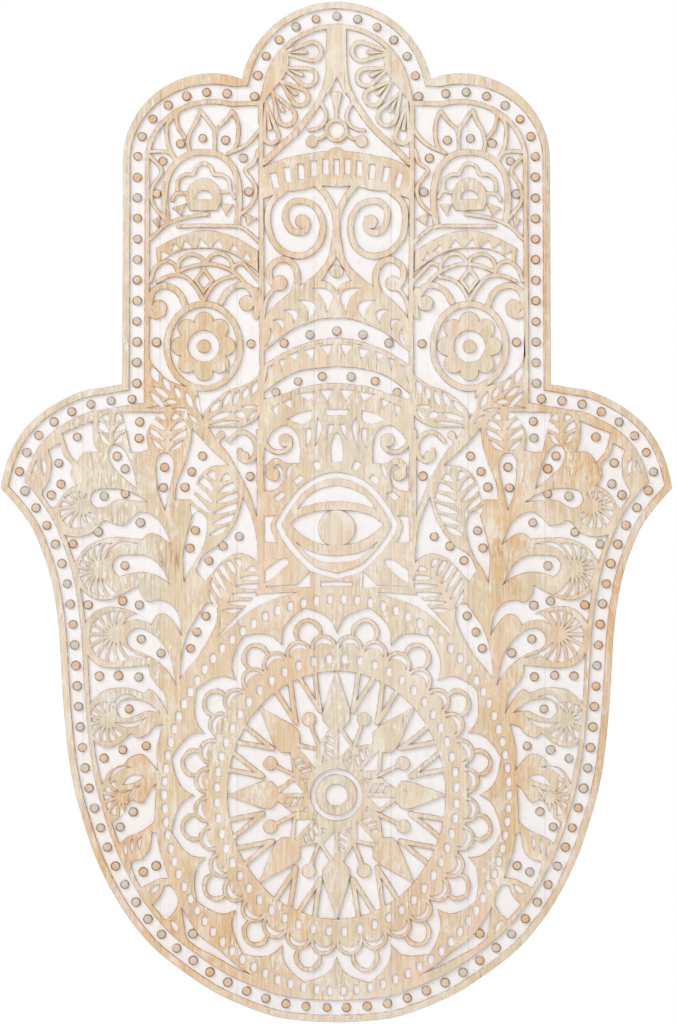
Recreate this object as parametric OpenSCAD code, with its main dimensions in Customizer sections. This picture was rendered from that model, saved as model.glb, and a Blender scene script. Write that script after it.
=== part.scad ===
// Carved hamsa hand plaque: nine edge-glued staves, two back battens, two D-ring hangers.
// The front faces -Y, +Z is up, and the origin is the middle of the upper batten's wall face.

/* [Hand] */
// Height of the whole hand, from foot to middle fingertip
panel_h = 610; // [480:10:760]
// Thickness of the glued panel
board_t = 18; // [14:1:24]
// Depth of the carved ground below the wood tops
carve_d = 2.2; // [1.4:0.1:5]
// Width of one stave in a hand 610 mm high; it grows with the hand
stave_w = 46; // [44:1:52]
// Distance of the first glue joint left of the middle line, in a hand 610 mm high
joint_shift = 13.4; // [6:0.2:20]

/* [Border] */
// Width of the outer rim
rim_w = 4.2; // [3:0.2:5]
// Width of the beaded channel inside the rim
channel_w = 9; // [8:0.5:10]
// Width of the ridge inside the channel
ridge_w = 3.2; // [2.4:0.2:4]
// Diameter of a bead
bead_d = 5.6; // [4:0.2:6.4]
// Distance from bead to bead along the border
bead_pitch = 12.4; // [11:0.2:18]

/* [Carving] */
// Width of the finest carved lines
fine_w = 2.6; // [1.6:0.2:3]
// Width of an ordinary carved line
line_w = 3; // [2.2:0.2:3.8]
// Width of the bold carved lines
bold_w = 4.2; // [3.2:0.2:5]
// Width of the thin painted grooves
groove_w = 1.5; // [1:0.1:2]
// Width of a slot in the two slotted rings of the medallion
slot_w = 3.8; // [2.6:0.2:4.6]
// Length of such a slot
slot_l = 6.2; // [5:0.2:8]
// Distance from slot to slot in the inner slotted ring
inner_pitch = 9.2; // [8.6:0.2:14]
// Distance from slot to slot in the outer slotted ring
outer_pitch = 8; // [7.6:0.2:14]
// Number of lotus petals round the medallion
petals = 16; // [12:2:20]
// Number of spears in the medallion's star
spears = 8; // [6:2:10]

/* [Battens] */
// Width of a batten
batten_w = 32; // [24:1:40]
// Thickness of a batten, which holds the panel off the wall
batten_t = 8; // [7:0.5:14]
// Length of the upper batten, across the fingers, in a hand 610 mm high
upper_batten_l = 230; // [190:5:240]
// Length of the lower batten, across the wrist, in a hand 610 mm high
lower_batten_l = 296; // [240:4:300]
// Distance between the two battens' middle lines, in a hand 610 mm high
batten_gap = 236; // [200:4:260]
// Diameter of the battens' screw shanks
screw_d = 4; // [3:0.5:5]
// Diameter of the battens' countersunk screw heads
screw_head_d = 8; // [7:0.5:9]
// Depth that the batten screws reach into the panel
screw_bite = 10; // [6:1:11]

/* [Hangers] */
// Distance of a hanger from the middle line, in a hand 610 mm high
hanger_x = 84; // [70:1:92]
// Height of the ring's hinge above the origin, in a hand 610 mm high
hanger_z = 62; // [58:1:70]
// Width of a hanger strap
strap_w = 10; // [8:0.5:14]
// Thickness of the strap's sheet metal
strap_t = 1.2; // [0.8:0.1:1.4]
// Diameter of the ring's wire
wire_d = 2.6; // [2:0.2:2.8]
// Running clearance of the ring in its eye
eye_gap = 0.06; // [0.04:0.01:0.1]
// Width of the ring between its wire centres
ring_w = 20; // [18:0.5:26]
// Drop of the ring from its hinge to its lowest wire centre
ring_drop = 16; // [14:0.5:18]
// Diameter of the strap screws' shanks
pin_d = 3; // [2.5:0.25:3.5]
// Diameter of the strap screws' pan heads
pin_head_d = 6; // [5:0.5:7]
// Height of those heads
pin_head_h = 1.8; // [1.4:0.2:2]
// Depth that the strap screws reach into the panel
pin_bite = 9; // [6:1:12]

/* [Hidden] */
// The carver's pattern is squared up on a grid, x from the left, y down from the fingertip
rows = 1022;
middle = 336.5;
batten_row = 300;
grid = panel_h / rows;
// What is given for a hand of this height grows with the hand
drawn_h = 610;
grow = panel_h / drawn_h;
upper_l = grow * upper_batten_l;
lower_l = grow * lower_batten_l;
lower_z = -grow * batten_gap;
hanger_at = [grow * hanger_x, grow * hanger_z];
staves = 9;
steps = 2;
eps = 0.01;
margin = 1;
sink = 0.4;
clearance = 0.3;
fit = 0.05;
seat = 0.4;
chip = 0.1;
bend_r = 3;
hinge_y = strap_t + wire_d / 2 + eye_gap + clearance;
wood = "BurlyWood";
steel = "Silver";

// Millimetres from squares: x from the middle line, up from the upper batten
function mm(p) = [(p[0] - middle) * grid, (batten_row - p[1]) * grid];

// A smooth line through points; a third value of 1 makes a point a sharp corner
function slope(a, b, c) = len(b) > 2 ? [0, 0] : [(c[0] - a[0]) / 2, (c[1] - a[1]) / 2];
function along(p, q, u, v, t) = [for (i = [0, 1])
    p[i] * (2 * t * t * t - 3 * t * t + 1) + u[i] * (t * t * t - 2 * t * t + t)
    + q[i] * (3 * t * t - 2 * t * t * t) + v[i] * (t * t * t - t * t)];
function pick(p, i, closed) = let (n = len(p)) closed ? p[(i + n) % n] : p[max(0, min(n - 1, i))];
function smooth(p, closed = false, n = steps) = concat(
    [for (i = [0:len(p) - (closed ? 1 : 2)]) let (
        a = pick(p, i - 1, closed),
        b = p[i],
        c = pick(p, i + 1, closed),
        d = pick(p, i + 2, closed)
    ) for (j = [0:n - 1]) along(b, c, slope(a, b, c), slope(b, c, d), j / n)],
    closed ? [] : [[p[len(p) - 1][0], p[len(p) - 1][1]]]);
function unit(v) = v / max(norm(v), eps);
function ahead(p, i) = unit(p[min(i + 1, len(p) - 1)] - p[max(i - 1, 0)]);
function beside(p, d) = [for (i = [0:len(p) - 1]) let (u = ahead(p, i)) p[i] + d * [-u[1], u[0]]];
function flip(p) = [for (i = [len(p) - 1:-1:0]) p[i]];
function in_mm(p) = [for (q = p) mm(q)];

// Where a line stands after each of its points, and the place a given way along it
function run(p, i = 1, s = [0]) = i >= len(p) ? s : run(p, i + 1, concat(s, s[i - 1] + norm(p[i] - p[i - 1])));
function place(p, s, d, i = 1) = i >= len(p) - 1 || s[i] >= d
    ? p[i - 1] + (p[i] - p[i - 1]) * (d - s[i - 1]) / max(s[i] - s[i - 1], eps)
    : place(p, s, d, i + 1);
function spaced(p, pitch) = let (s = run(p), n = max(1, round(s[len(s) - 1] / pitch)))
    [for (i = [0:n - 1]) place(p, s, (i + 0.5) * s[len(s) - 1] / n)];

// An arc of points about a centre, with a radius across and a radius up, in squares
function arc(c, rx, ry, from, to, n) = [for (i = [0:n]) let (a = from + (to - from) * i / n)
    [c[0] + rx * cos(a), c[1] - ry * sin(a)]];

// The outline of the left half, from the middle fingertip down to the foot
tip_c = [336.5, 98];
tip_r = 96.5;
side_c = [212, 160];
side_rx = 89;
side_ry = 87;
// The rim is wider over the side fingertips
side_drop = 4;
notch_a = 169.2;
side_a = 70.3;
notch = [242, 79];
thumb_line = [
    [122, 384, 1], [105, 387], [79, 392], [48, 408], [29, 424], [17, 440], [9, 456], [4, 472], [0.5, 488, 1]
];
wrist_line = [
    [0.5, 488, 1], [15, 504], [27, 520], [36, 536], [48, 568], [55, 600], [59, 632], [61.5, 672],
    [64, 712], [69, 760], [75, 792], [84, 824], [95, 856], [110, 888], [130, 920], [158, 952], [201, 984],
    [230, 1000], [272, 1016], [304, 1021], [336.5, 1022.5]
];

// Middle finger: lines of wood, each with its width
divider = [[261, 104], [261, 200], [262, 330], [261, 450], [261.5, 596]];
MIDDLE_BOLD = [
    [[331, 26], [330, 60], [327, 80], [320, 99], [308, 117], [296, 132], [280, 147], [264, 162]],
    [[302, 231], [292, 229], [286, 219], [287, 209], [293, 202], [303, 201], [313, 205], [320, 214], [323, 226],
        [321, 239], [315, 249], [304, 255], [293, 255], [281, 250], [272, 239], [268, 225], [268, 210],
        [273, 199], [284, 190]],
    [[318, 186], [327, 197], [332, 212], [333.4, 232], [330, 254], [322, 270], [310, 282], [296, 292],
        [283, 302], [272, 313], [264, 325]],
    [[276, 288], [270, 279], [269.5, 269], [275, 262], [284, 259], [292, 263], [297, 272], [297.5, 282], [294, 292]],
    [[283, 302], [291, 312], [296, 324]]
];
MIDDLE_LINES = [
    [[309, 130], [318, 128], [325, 122], [326, 112], [321, 103]],
    [[312, 139], [321, 138], [327, 133]],
    [[274, 289], [267, 299], [264, 310], [262, 324]],
    [[263, 368], [280, 357], [298, 348], [316, 342], [336.5, 339.5]],
    [[263, 411], [280, 398], [298, 390.5], [316, 386.5], [336.5, 385]]
];
MIDDLE_SOLIDS = [
    [[262, 92], [268, 72], [277, 55], [284, 51, 1], [289, 58], [287, 70], [282, 79], [274, 88], [268, 96], [262, 104]],
    [[262, 168, 1], [282, 159], [310, 153], [336.5, 150, 1], [336.5, 187, 1], [318, 186], [300, 190], [282, 192],
        [262, 199, 1]],
    [[262, 322, 1], [272, 311], [285, 300], [297, 289], [310, 281.5], [322, 282], [331, 289], [335, 300, 1],
        [337, 300, 1], [337, 318, 1], [320, 319], [298, 327], [283, 336], [272, 345], [262, 352, 1]],
    [[262, 368, 1], [298, 349], [336.5, 340, 1], [336.5, 366, 1], [312, 368.5], [296, 372], [280, 380],
        [262, 394, 1]]
];
// Petals of the corner flowers: where each springs, its round end and that end's radius
CORNER_PETALS = [
    [[278, 53], [312, 51], 11.5], [[280, 66], [307, 77], 11], [[277, 78], [300, 97], 10.5],
    [[270, 88], [286, 116], 11.5], [[265, 98], [271, 136], 9.5]
];
FENCE_SLOTS = [[274.5, 178, -14], [288.5, 173.5, -9], [301, 171.5, -2], [313.5, 168, 0], [325.5, 166.5, 0]];
// Crescents cut out of solid wood: two tips and how far each side bows
MIDDLE_MOONS = [
    [[314, 286], [329, 314], 12, 3.5], [[299, 299], [312, 321], 12, 3], [[284, 309], [297, 323], 8, 1.5],
    [[271, 320], [284, 333], 8, 2], [[270, 327], [264, 347], 8, 2]
];
TEETH = [
    [[288, 355], [298, 351], [296, 361]], [[303, 350], [315, 347], [312, 359]], [[320, 345], [333, 344], [328, 356]],
    [[279, 360], [285, 358], [282, 372]], [[268, 367], [273, 364], [264, 384]],
    [[271, 408], [279, 403], [277, 417]], [[282, 402], [292, 398], [291, 408]], [[297, 394], [314, 391], [310, 402]],
    [[320, 390], [333, 389], [327, 402]]
];
MIDDLE_DOTS = [[310, 334.5], [284, 343], [276, 393.5], [298, 381], [322, 376.5]];

// Below the arches: flames, curls and the eye
FLAME_CUTS = [
    [[287, 419, 1], [298, 413], [311, 410, 1], [311, 420], [300, 424, 1]],
    [[324, 409, 1], [336.5, 409, 1], [336.5, 415, 1], [326, 415, 1]],
    [[306, 428, 1], [311.5, 428, 1], [311, 438], [306, 448, 1]],
    [[317, 417, 1], [321.5, 426], [319, 438], [315, 447, 1], [316, 430]],
    [[328, 424, 1], [334, 424, 1], [330, 434], [326, 440, 1]],
    [[333, 436], [336.5, 432, 1], [336.5, 462, 1], [331, 462, 1], [330.5, 448]],
    [[264, 468, 1], [264, 452], [267, 440], [273, 431], [284, 425], [295, 430], [300, 444], [300, 463, 1],
        [286, 463], [280, 459], [272, 459]],
    [[264, 462], [267, 469], [269, 478], [274, 481], [279, 478], [279, 471], [274, 468, 1], [278, 464], [283, 472],
        [281, 484], [274, 490], [264, 491, 1]],
    [[293, 462, 1], [290, 474], [286, 479, 1], [287, 469]],
    [[311, 463, 1], [318, 460, 1], [322, 468, 1], [316, 471, 1]],
    [[293, 480, 1], [300, 474, 1], [304, 478, 1], [297, 486, 1]],
    [[273, 497, 1], [281, 491, 1], [286, 494, 1], [278, 502, 1]],
    [[264, 516, 1], [276, 515, 1], [270, 526], [277, 543, 1], [264, 542, 1]],
    [[264, 581, 1], [264, 569, 1], [281, 558, 1], [288, 560, 1], [287, 565, 1], [272, 575, 1]],
    [[298, 586, 1], [308, 575, 1], [310.5, 576, 1], [310.5, 586, 1]],
    [[320, 582, 1], [336.5, 581, 1], [336.5, 586, 1], [320, 586, 1]]
];
FLAME_CURL = [[262, 434], [267, 446], [275, 451.5], [284, 451], [290, 445], [290, 438]];
EYE_EDGE = [[278, 524, 1], [290, 504], [304, 488], [320, 478], [336.5, 474.5]];
EYE_EDGE_LOW = [[278, 524, 1], [284, 537], [298, 555], [314, 569], [336.5, 576]];
EYE_LID = [[297, 509, 1], [308, 496], [322, 488], [336.5, 485, 1], [336.5, 501, 1], [320, 502.5], [306, 506]];
EYE_WHITE = [[290, 524, 1], [300, 516], [316, 511], [336.5, 509, 1], [336.5, 547.5, 1], [322, 545.5], [308, 539],
    [298, 532]];
GEM = [[199, 279.5, 1], [203.5, 272.5, 1], [208.5, 279.5, 1], [204, 286, 1]];
EYE_UNDER = [[295, 541, 1], [306, 549], [320, 554], [336.5, 556, 1], [336.5, 562.5, 1], [320, 561], [306, 553]];
eye_c = [336.5, 528];
iris_r = 18.5;

// Side finger: lotus, horseshoe arch, fish scales, curls and the rosette
SIDE_LINES = [
    [[146, 153], [156, 162], [162, 171], [155, 182], [151, 194], [154, 206], [164, 218]],
    [[146, 152], [160, 151], [170, 153], [176, 161]],
    [[178, 112], [168, 122], [166.5, 135], [169, 148], [176, 160]],
    [[176, 117], [178, 127], [185, 137]],
    [[200, 110], [197, 120], [191, 130], [188, 142], [190, 153]],
    [[202, 112], [209, 122], [214, 131], [214.5, 153]],
    [[232, 111], [225, 121], [217, 128], [214, 135]],
    [[233, 112], [237, 121], [238, 135], [235, 147], [228, 153]],
    [[258, 131], [250, 141], [240, 148], [229, 152]],
    [[258, 150], [254, 162], [245, 170], [252, 180], [256, 190], [252, 203], [243, 212], [237, 215]],
    [[178, 190], [175.5, 182], [180, 174], [187, 172], [194, 178], [196, 168], [203, 163.5], [210, 166],
        [214, 174], [222, 174.5], [229, 180], [230, 190]],
    [[172, 200], [176, 194], [186, 193]],
    [[222, 192], [230, 191], [234, 197]],
    [[150, 239], [165, 225], [182, 218], [208, 213.5]],
    [[178, 226], [200, 225.5], [235, 226], [247, 231], [259, 242]],
    [[150, 281], [155, 268], [165, 261], [174, 264], [178, 272]],
    [[177, 270], [180, 260], [190, 254], [201, 257], [205, 264]],
    [[205, 264], [212, 255], [222, 254], [231, 261], [233, 271]],
    [[232, 268], [241, 263], [250, 271], [259, 281]],
    [[157, 281], [172, 275], [186, 277], [196, 288], [203, 298]],
    [[178, 271], [195, 265.5], [213, 264], [230, 270], [243, 281], [256, 300]],
    [[204, 298], [212, 286], [222, 279], [245, 277]]
];
SIDE_BOLD = [
    [[167, 220], [164.5, 200], [167, 178], [176, 163], [190, 154], [205, 152], [220, 155], [232, 166],
        [238, 182], [239, 202], [237, 222]],
    [[149, 312], [151, 294], [160, 286], [172, 287], [181, 295], [186, 307]],
    [[221, 302], [228, 291], [240, 285], [251, 289], [257, 304]],
    [[150, 313], [156, 316], [163, 313]],
    [[256, 316], [258, 300], [256, 290]]
];
SIDE_SOLIDS = [
    [[156, 248, 1], [175, 238], [190, 232.5], [204, 230.5], [220, 232], [240, 240], [258, 251, 1], [258, 272, 1],
        [240, 258], [222, 250], [204, 248], [185, 249], [168, 256], [158, 263, 1]],
    [[186, 200], [188, 188], [196, 179.5], [203.5, 177.5], [211, 179.5], [219, 188], [221, 200], [217, 210, 1],
        [190, 210, 1]],
    [[172, 208, 1], [186, 203, 1], [181, 215, 1]],
    [[221, 204, 1], [233, 204, 1], [226, 215, 1]],
    [[152, 220, 1], [160, 216, 1], [158, 228, 1]],
    [[244, 213, 1], [257, 218, 1], [247, 225, 1]],
    [[194, 279.5, 1], [203.5, 266, 1], [214, 279.5, 1], [204, 293, 1]],
    [[196, 292], [208, 292], [210, 306], [194, 306]],
    [[148, 318, 1], [148, 355], [158, 371], [170, 381], [184, 386], [196, 389], [200, 410], [205, 430],
        [190, 424], [178, 410, 1], [148, 410, 1]],
    [[202, 432, 1], [204, 414], [214, 401], [228, 391], [245, 385], [262, 372, 1], [262, 406, 1], [256, 419],
        [240, 427], [222, 430]]
];
SIDE_TEETH = [
    [[161, 251], [170, 255], [161, 261]], [[173, 243], [180, 248], [171, 252]], [[184, 240], [193, 247], [181, 249]],
    [[200, 238], [209, 247], [197, 247]], [[218, 239], [224, 248], [211, 247]], [[233, 244], [241, 251], [229, 251]],
    [[246, 251], [251, 261], [243, 258]]
];
SIDE_MOONS = [
    [[151, 366], [158, 383], -4, 4], [[153, 386], [169, 398], -3, 3], [[149, 391], [165, 408], -3, 3],
    [[162, 377], [171, 392], -3, 3], [[174, 386], [181, 399], -3, 3], [[164, 401], [178, 402], -3, 2],
    [[185, 391], [193, 409], -3, 3], [[196, 395], [201, 415], -3, 3], [[172, 408], [190, 410], -1.5, 2],
    [[188, 414], [199, 424], -2, 2], [[209, 413], [221, 400], -3, 3], [[222, 408], [231, 391], -3, 3],
    [[233, 406], [239, 390], -3, 3], [[243, 400], [248, 386], -3, 3], [[252, 395], [257, 380], -3, 3],
    [[208, 420], [232, 412], -3, 3], [[234, 413], [246, 417], -4, 3], [[208, 425], [240, 421], -2, 2],
    [[241, 407], [257, 406], -2, 2], [[247, 421], [257, 409], -2, 2]
];
rosette_c = [203.5, 346];
rosette_rx = 36.5;
rosette_ry = 42;
SIDE_DOTS = [
    [162.7, 161], [180.6, 143.5], [202.7, 138], [225.5, 140], [243.5, 158], [249, 191.5], [156.5, 193.5],
    [156.4, 342], [251, 343.5]
];

// Thumb and vine: bays of ground cut into the wood, each a closed line
VINE_BAYS = [
    [[62, 433, 1], [78, 427], [93, 421, 1], [93, 440], [98, 452, 1], [86, 452], [79, 458], [78, 464, 1], [68, 452]],
    [[48, 450, 1], [60, 443, 1], [64, 456], [72, 464, 1], [71, 476], [77, 486, 1], [66, 491], [56, 505],
        [52, 508, 1], [42, 494], [49, 480], [51, 462]],
    [[121, 412, 1], [161, 412, 1], [153, 421], [147, 434], [149, 450, 1], [140, 452], [130, 452, 1], [127, 436]],
    [[108, 456], [110, 447], [117, 445], [125, 452], [133, 470], [137.5, 489, 1], [124, 478], [113, 467]],
    [[90, 500], [94, 491], [104, 488.5], [120, 489], [135, 494], [148, 502, 1], [130, 500], [116, 500], [104, 507],
        [96, 507]],
    [[62, 534, 1], [76, 537], [92, 533], [104, 521], [113, 524], [124, 525], [133, 516], [143, 512], [155, 517],
        [164, 528], [171, 545, 1], [160, 536], [150, 533], [142, 539, 1], [118, 537], [100, 540], [86, 547],
        [76, 560], [72, 566, 1], [68, 548]],
    [[112, 566], [117, 557], [128, 555], [146, 556], [160, 566], [170, 585, 1], [160, 577], [145, 572], [130, 573],
        [118, 576]],
    [[80, 588, 1], [92, 598], [108, 600], [126, 592], [139, 585, 1], [141, 595], [149, 602], [158, 600],
        [170, 604], [179, 616], [182, 636, 1], [174, 622], [165, 614], [156, 616], [151, 625, 1], [138, 614],
        [122, 608], [106, 607], [94, 612], [84, 624, 1]],
    [[127, 641], [129, 633], [137, 630], [147, 635], [158, 647], [169, 662], [175.5, 687, 1], [164, 668],
        [150, 653], [136, 648]],
    [[86, 652, 1], [98, 665], [118, 668], [149, 665, 1], [150, 675], [156, 684], [164, 694], [168, 714, 1],
        [160, 700], [150, 689], [144, 693, 1], [128, 688], [108, 689], [96, 697], [88, 707, 1]],
    [[116, 709], [121, 701], [132, 699], [146, 702], [160, 713, 1], [146, 711], [132, 717], [121, 718]],
    [[92, 739, 1], [104, 747], [118, 744], [131, 733, 1], [138, 738], [148, 734], [154, 727], [163, 724, 1],
        [159, 740], [157, 752], [158, 771, 1], [151, 762], [142, 754], [130, 757], [124, 764], [110, 770],
        [102, 785, 1], [97, 762]],
    [[150, 790, 1], [156, 784, 1], [154, 822, 1], [142, 831], [126, 838], [120, 844, 1], [110, 826], [122, 815],
        [131, 800], [142, 803]],
    [[152, 832, 1], [157, 834, 1], [160, 852], [169, 878, 1], [158, 879], [146, 885], [140, 888, 1], [131, 864],
        [142, 859], [150, 848]],
    [[164, 886, 1], [171, 886], [178, 900], [174, 912], [165, 920, 1], [152, 905, 1], [160, 896]],
    [[181, 907, 1], [190, 922], [200, 936], [216, 948], [236, 961], [262, 974], [290, 982, 1], [262, 978],
        [236, 968], [214, 956], [198, 948], [186, 938, 1]]
];
COLUMN_BAYS = [
    [[156, 468], [158, 457], [165, 453], [172, 457], [174, 468], [170, 488], [165, 511, 1], [158, 490]],
    [[192, 428, 1], [200, 437], [214, 452], [229, 465, 1], [214, 466], [203, 472], [196, 484], [193, 500, 1],
        [175, 500, 1], [177, 483], [184, 466], [190, 446]],
    [[190, 524], [194, 513], [201, 512], [207, 521], [206, 538], [198, 558], [190, 570], [184, 583, 1], [183, 556],
        [186, 538]],
    [[243, 497, 1], [250, 512], [256, 534], [258, 563, 1], [250, 556], [239, 553], [226, 558], [214, 571],
        [205, 582, 1], [196, 571, 1], [203, 556], [216, 547], [228, 534], [238, 516]],
    [[201, 611], [208, 603], [216, 606], [217, 619], [210, 637], [199, 655], [189, 667], [180, 679, 1], [181, 658],
        [188, 632]],
    [[208, 427, 1], [256, 427, 1], [257, 517, 1], [250, 496], [242, 478], [229, 455], [217, 440]]
];
// Round knobs, curls and stalks left standing in the bays
KNOB_LINES = [
    [[218, 441], [221, 434]],
    [[229, 441], [236, 434], [244, 432], [252, 437], [256, 446], [254, 457], [247, 461], [240, 457], [240, 450]]
];
VINE_DOTS = [
    [139.5, 421.5], [139, 438], [77, 437], [58.5, 463], [61, 484], [51, 495], [117, 456], [125, 468.5],
    [104, 496], [125, 493.5], [73, 544], [98, 532], [140, 522.5], [125, 565.5], [88, 605], [122.5, 601], [139, 605],
    [141, 639], [161, 653], [99, 676], [118.4, 675.4], [138.7, 677], [129, 709], [146, 746], [104, 758.5],
    [122.5, 750], [133, 812], [120, 827], [143, 872], [156, 866], [193, 934], [164.7, 467], [163.4, 487.5],
    [202.3, 456], [192, 471.5], [185, 487], [250, 476], [195.5, 530.5], [190, 548], [239, 536.5], [223, 546],
    [209, 560.5], [206, 616], [197, 632], [190.5, 648.5]
];
// Fans of pointed cuts round a hub: hub, reach, first and last direction, number, and their width
FANS = [
    [[84, 506], 25, 92, 322, 8, 4.4],
    [[100, 571], 25, 100, 320, 8, 4.2],
    [[114, 634], 27, 95, 318, 9, 4.4],
    [[109, 720], 21, 85, 325, 9, 3.8],
    [[125, 796], 22, 130, 300, 6, 3.6]
];
// Ferns of paired leaflets: foot, tip, half width and number of pairs
FERNS = [
    [[111, 447], [112, 409], 13, 4], [[166, 450], [173, 406], 19, 5], [[208, 538], [214, 470], 25, 7],
    [[219, 611], [250, 562], 25, 7]
];
VINE_MOONS = [
    [[35, 457], [29, 475], -1, 5], [[41, 458], [44, 476], -1, 4], [[104, 560], [139, 544], 10, 6],
    [[122, 625], [150, 624], 11, 5], [[125, 650], [149, 657], -4, -1], [[112, 708], [136, 697], 8, 4],
    [[114, 722], [146, 717], -8, -3], [[122, 785], [144, 777], 6, -2], [[108, 782], [132, 767], 8, 4],
    [[107, 791], [133, 789], -3, -1], [[128, 803], [141, 785], 5, 2], [[124, 842], [127, 857], -3, 1],
    [[132, 838], [132, 854], -2.5, 1], [[141, 836], [139, 850], -3, 1], [[148, 893], [160, 884], 2, -4],
    [[170, 920], [178, 933], -2, 4], [[146, 408], [172, 405], 1, -1]
];

// Medallion
medallion_c = [336.5, 795];
medallion_flat = 0.88;
disc_r = 11;
disc_ring_r = 20.5;
disc_ground_r = 26;
hub_ring_r = 33;
spear_base_r = 68;
spear_wide_r = 75;
spear_half = 13.5;
star_r = 124;
star_ring_r = 132;
inner_slots_r = 136.5;
finger_r = 148;
finger_head_r = 8;
petal_foot_r = 141;
petal_tip_r = 191;
outer_slots_r = 196;
medallion_r = 204;
arc_r = 210;

// Drawing tools, all of them flat
module line(p, w) {
    c = in_mm(smooth(p));
    polygon(concat(beside(c, w / 2), flip(beside(c, -w / 2))));
    for (e = [c[0], c[len(c) - 1]]) translate(e) circle(d = w, $fn = 8);
}
module blob(p) { polygon(in_mm(smooth(p, true))); }
module moon(m) {
    a = mm(m[0]);
    b = mm(m[1]);
    n = grid * [unit(b - a)[1], -unit(b - a)[0]];
    polygon(concat(
        [for (t = [0:0.2:1]) a + (b - a) * t - n * m[2] * 4 * t * (1 - t)],
        [for (t = [0.8:-0.2:0.2]) a + (b - a) * t - n * m[3] * 4 * t * (1 - t)]));
}
function drop_line(tip, head, r, n = 8) = let (
    a = atan2(head[1] - tip[1], head[0] - tip[0]),
    s = 90 + asin(min(0.99, r / max(norm(head - tip), r)))
) concat([tip], [for (i = [0:n]) head + r * [cos(a - s + 2 * s * i / n), sin(a - s + 2 * s * i / n)]]);
module drop(tip, head, r) { polygon(drop_line(mm(tip), mm(head), r * grid)); }
module fan(f) {
    for (i = [0:f[4] - 1]) {
        a = f[2] + (f[3] - f[2]) * i / (f[4] - 1);
        u = [cos(a), -sin(a)];
        drop(f[0] + 0.22 * f[1] * u, f[0] + (f[1] - f[5]) * u, f[5] - 0.6);
    }
}
module fern(f) {
    u = unit(f[1] - f[0]);
    v = [-u[1], u[0]];
    for (s = [-1, 1]) for (i = [0:f[3] - 1]) {
        t = i / f[3];
        reach = f[2] * sin(40 + 125 * t);
        a = f[0] + (f[1] - f[0]) * (t * 0.9 + 0.06) + 2.2 * s * v;
        moon([a, a + reach * (s * v + 0.35 * u), s * 0.1 * reach, s * (0.1 * reach + 4.4)]);
    }
}
module disc(c, r, n = 24) { translate(mm(c)) circle(r = r * grid, $fn = n); }
module both() {
    children();
    mirror([1, 0]) children();
}

// The hand's outline, and the same drawn in by some millimetres
half_line = concat(
    in_mm(arc(tip_c, tip_r, tip_r, 90, notch_a - 6, 13)),
    [mm(notch)],
    in_mm(arc(side_c, side_rx, side_ry, side_a + 6, 180, 13)),
    in_mm([for (i = [0:steps * (len(thumb_line) - 1) - 1]) smooth(thumb_line)[i]]),
    in_mm(smooth(wrist_line)));
module hand() { both() polygon(concat([[eps, half_line[len(half_line) - 1][1]], [eps, half_line[0][1]]], half_line)); }
module inset(d) {
    offset(delta = -d) difference() {
        hand();
        both() polygon(in_mm(concat(arc(side_c, side_rx + 9, side_ry + 9, side_a + 7, 180, 12),
            arc(side_c, side_rx, side_ry - side_drop, 180, side_a + 7, 12))));
    }
}

// Beads stand along the middle of the channel
bead_in = rim_w + channel_w / 2;
near = bead_in / grid;
tip_path = in_mm(arc(tip_c, tip_r - near, tip_r - near, 90, 178.7, 24));
tip_run = run(tip_path)[24];
tip_steps = round(tip_run / bead_pitch);
tip_beads = [for (i = [1:tip_steps]) place(tip_path, run(tip_path), i * tip_run / tip_steps)];
thumb_in = beside(in_mm(smooth([for (i = [0:len(thumb_line) - 2]) thumb_line[i]])), bead_in);
wrist_in = beside(in_mm(smooth([for (i = [1:len(wrist_line) - 1]) wrist_line[i]])), bead_in);
side_beads = spaced(concat(
    in_mm(arc(side_c, side_rx - near, side_ry - side_drop - near, side_a, 180, 20)),
    [mm([thumb_line[0][0] + near, thumb_line[0][1] + near])],
    [for (i = [1:len(thumb_in) - 1]) thumb_in[i]],
    wrist_in), bead_pitch);
left_beads = concat(tip_beads, side_beads, [for (d = concat(MIDDLE_DOTS, SIDE_DOTS, VINE_DOTS)) mm(d)]);
middle_beads = [mm([middle, tip_c[1] - tip_r + near]), mm([middle, 331])];
all_beads = concat(left_beads, middle_beads, [for (b = left_beads) [-b[0], b[1]]]);

// Wood of the left half inside the ridge: fields, less bays, plus what stands in them, less fine cuts
module fields() {
    polygon(in_mm([[-9, 396], [146, 396], [178, 409], [190, 424], [203, 429], [262, 429], [262, 400], [298, 390],
        [336.5, 384], [336.6, 1030], [-9, 1030]]));
    line(divider, ridge_w);
    for (p = concat(MIDDLE_SOLIDS, SIDE_SOLIDS)) blob(p);
    for (p = concat(MIDDLE_BOLD, SIDE_BOLD)) line(p, bold_w);
    for (p = concat(MIDDLE_LINES, SIDE_LINES)) line(p, fine_w);
    for (p = CORNER_PETALS) drop(p[0], p[1], p[2]);
    polygon(in_mm([[327, 24], [336.6, 24], [336.6, 78], [332, 78], [327, 70]]));
    translate(mm(rosette_c)) scale([rosette_rx, rosette_ry]) circle(r = grid + bold_w / 2 / rosette_rx, $fn = 40);
    disc([159.5, 307.5], 7.6);
    disc([247, 303], 7.6);
    disc([336.5, 271], 6.5);
    disc([336.5, 130], 12);
    disc([311.5, 141], 6);
}
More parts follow.
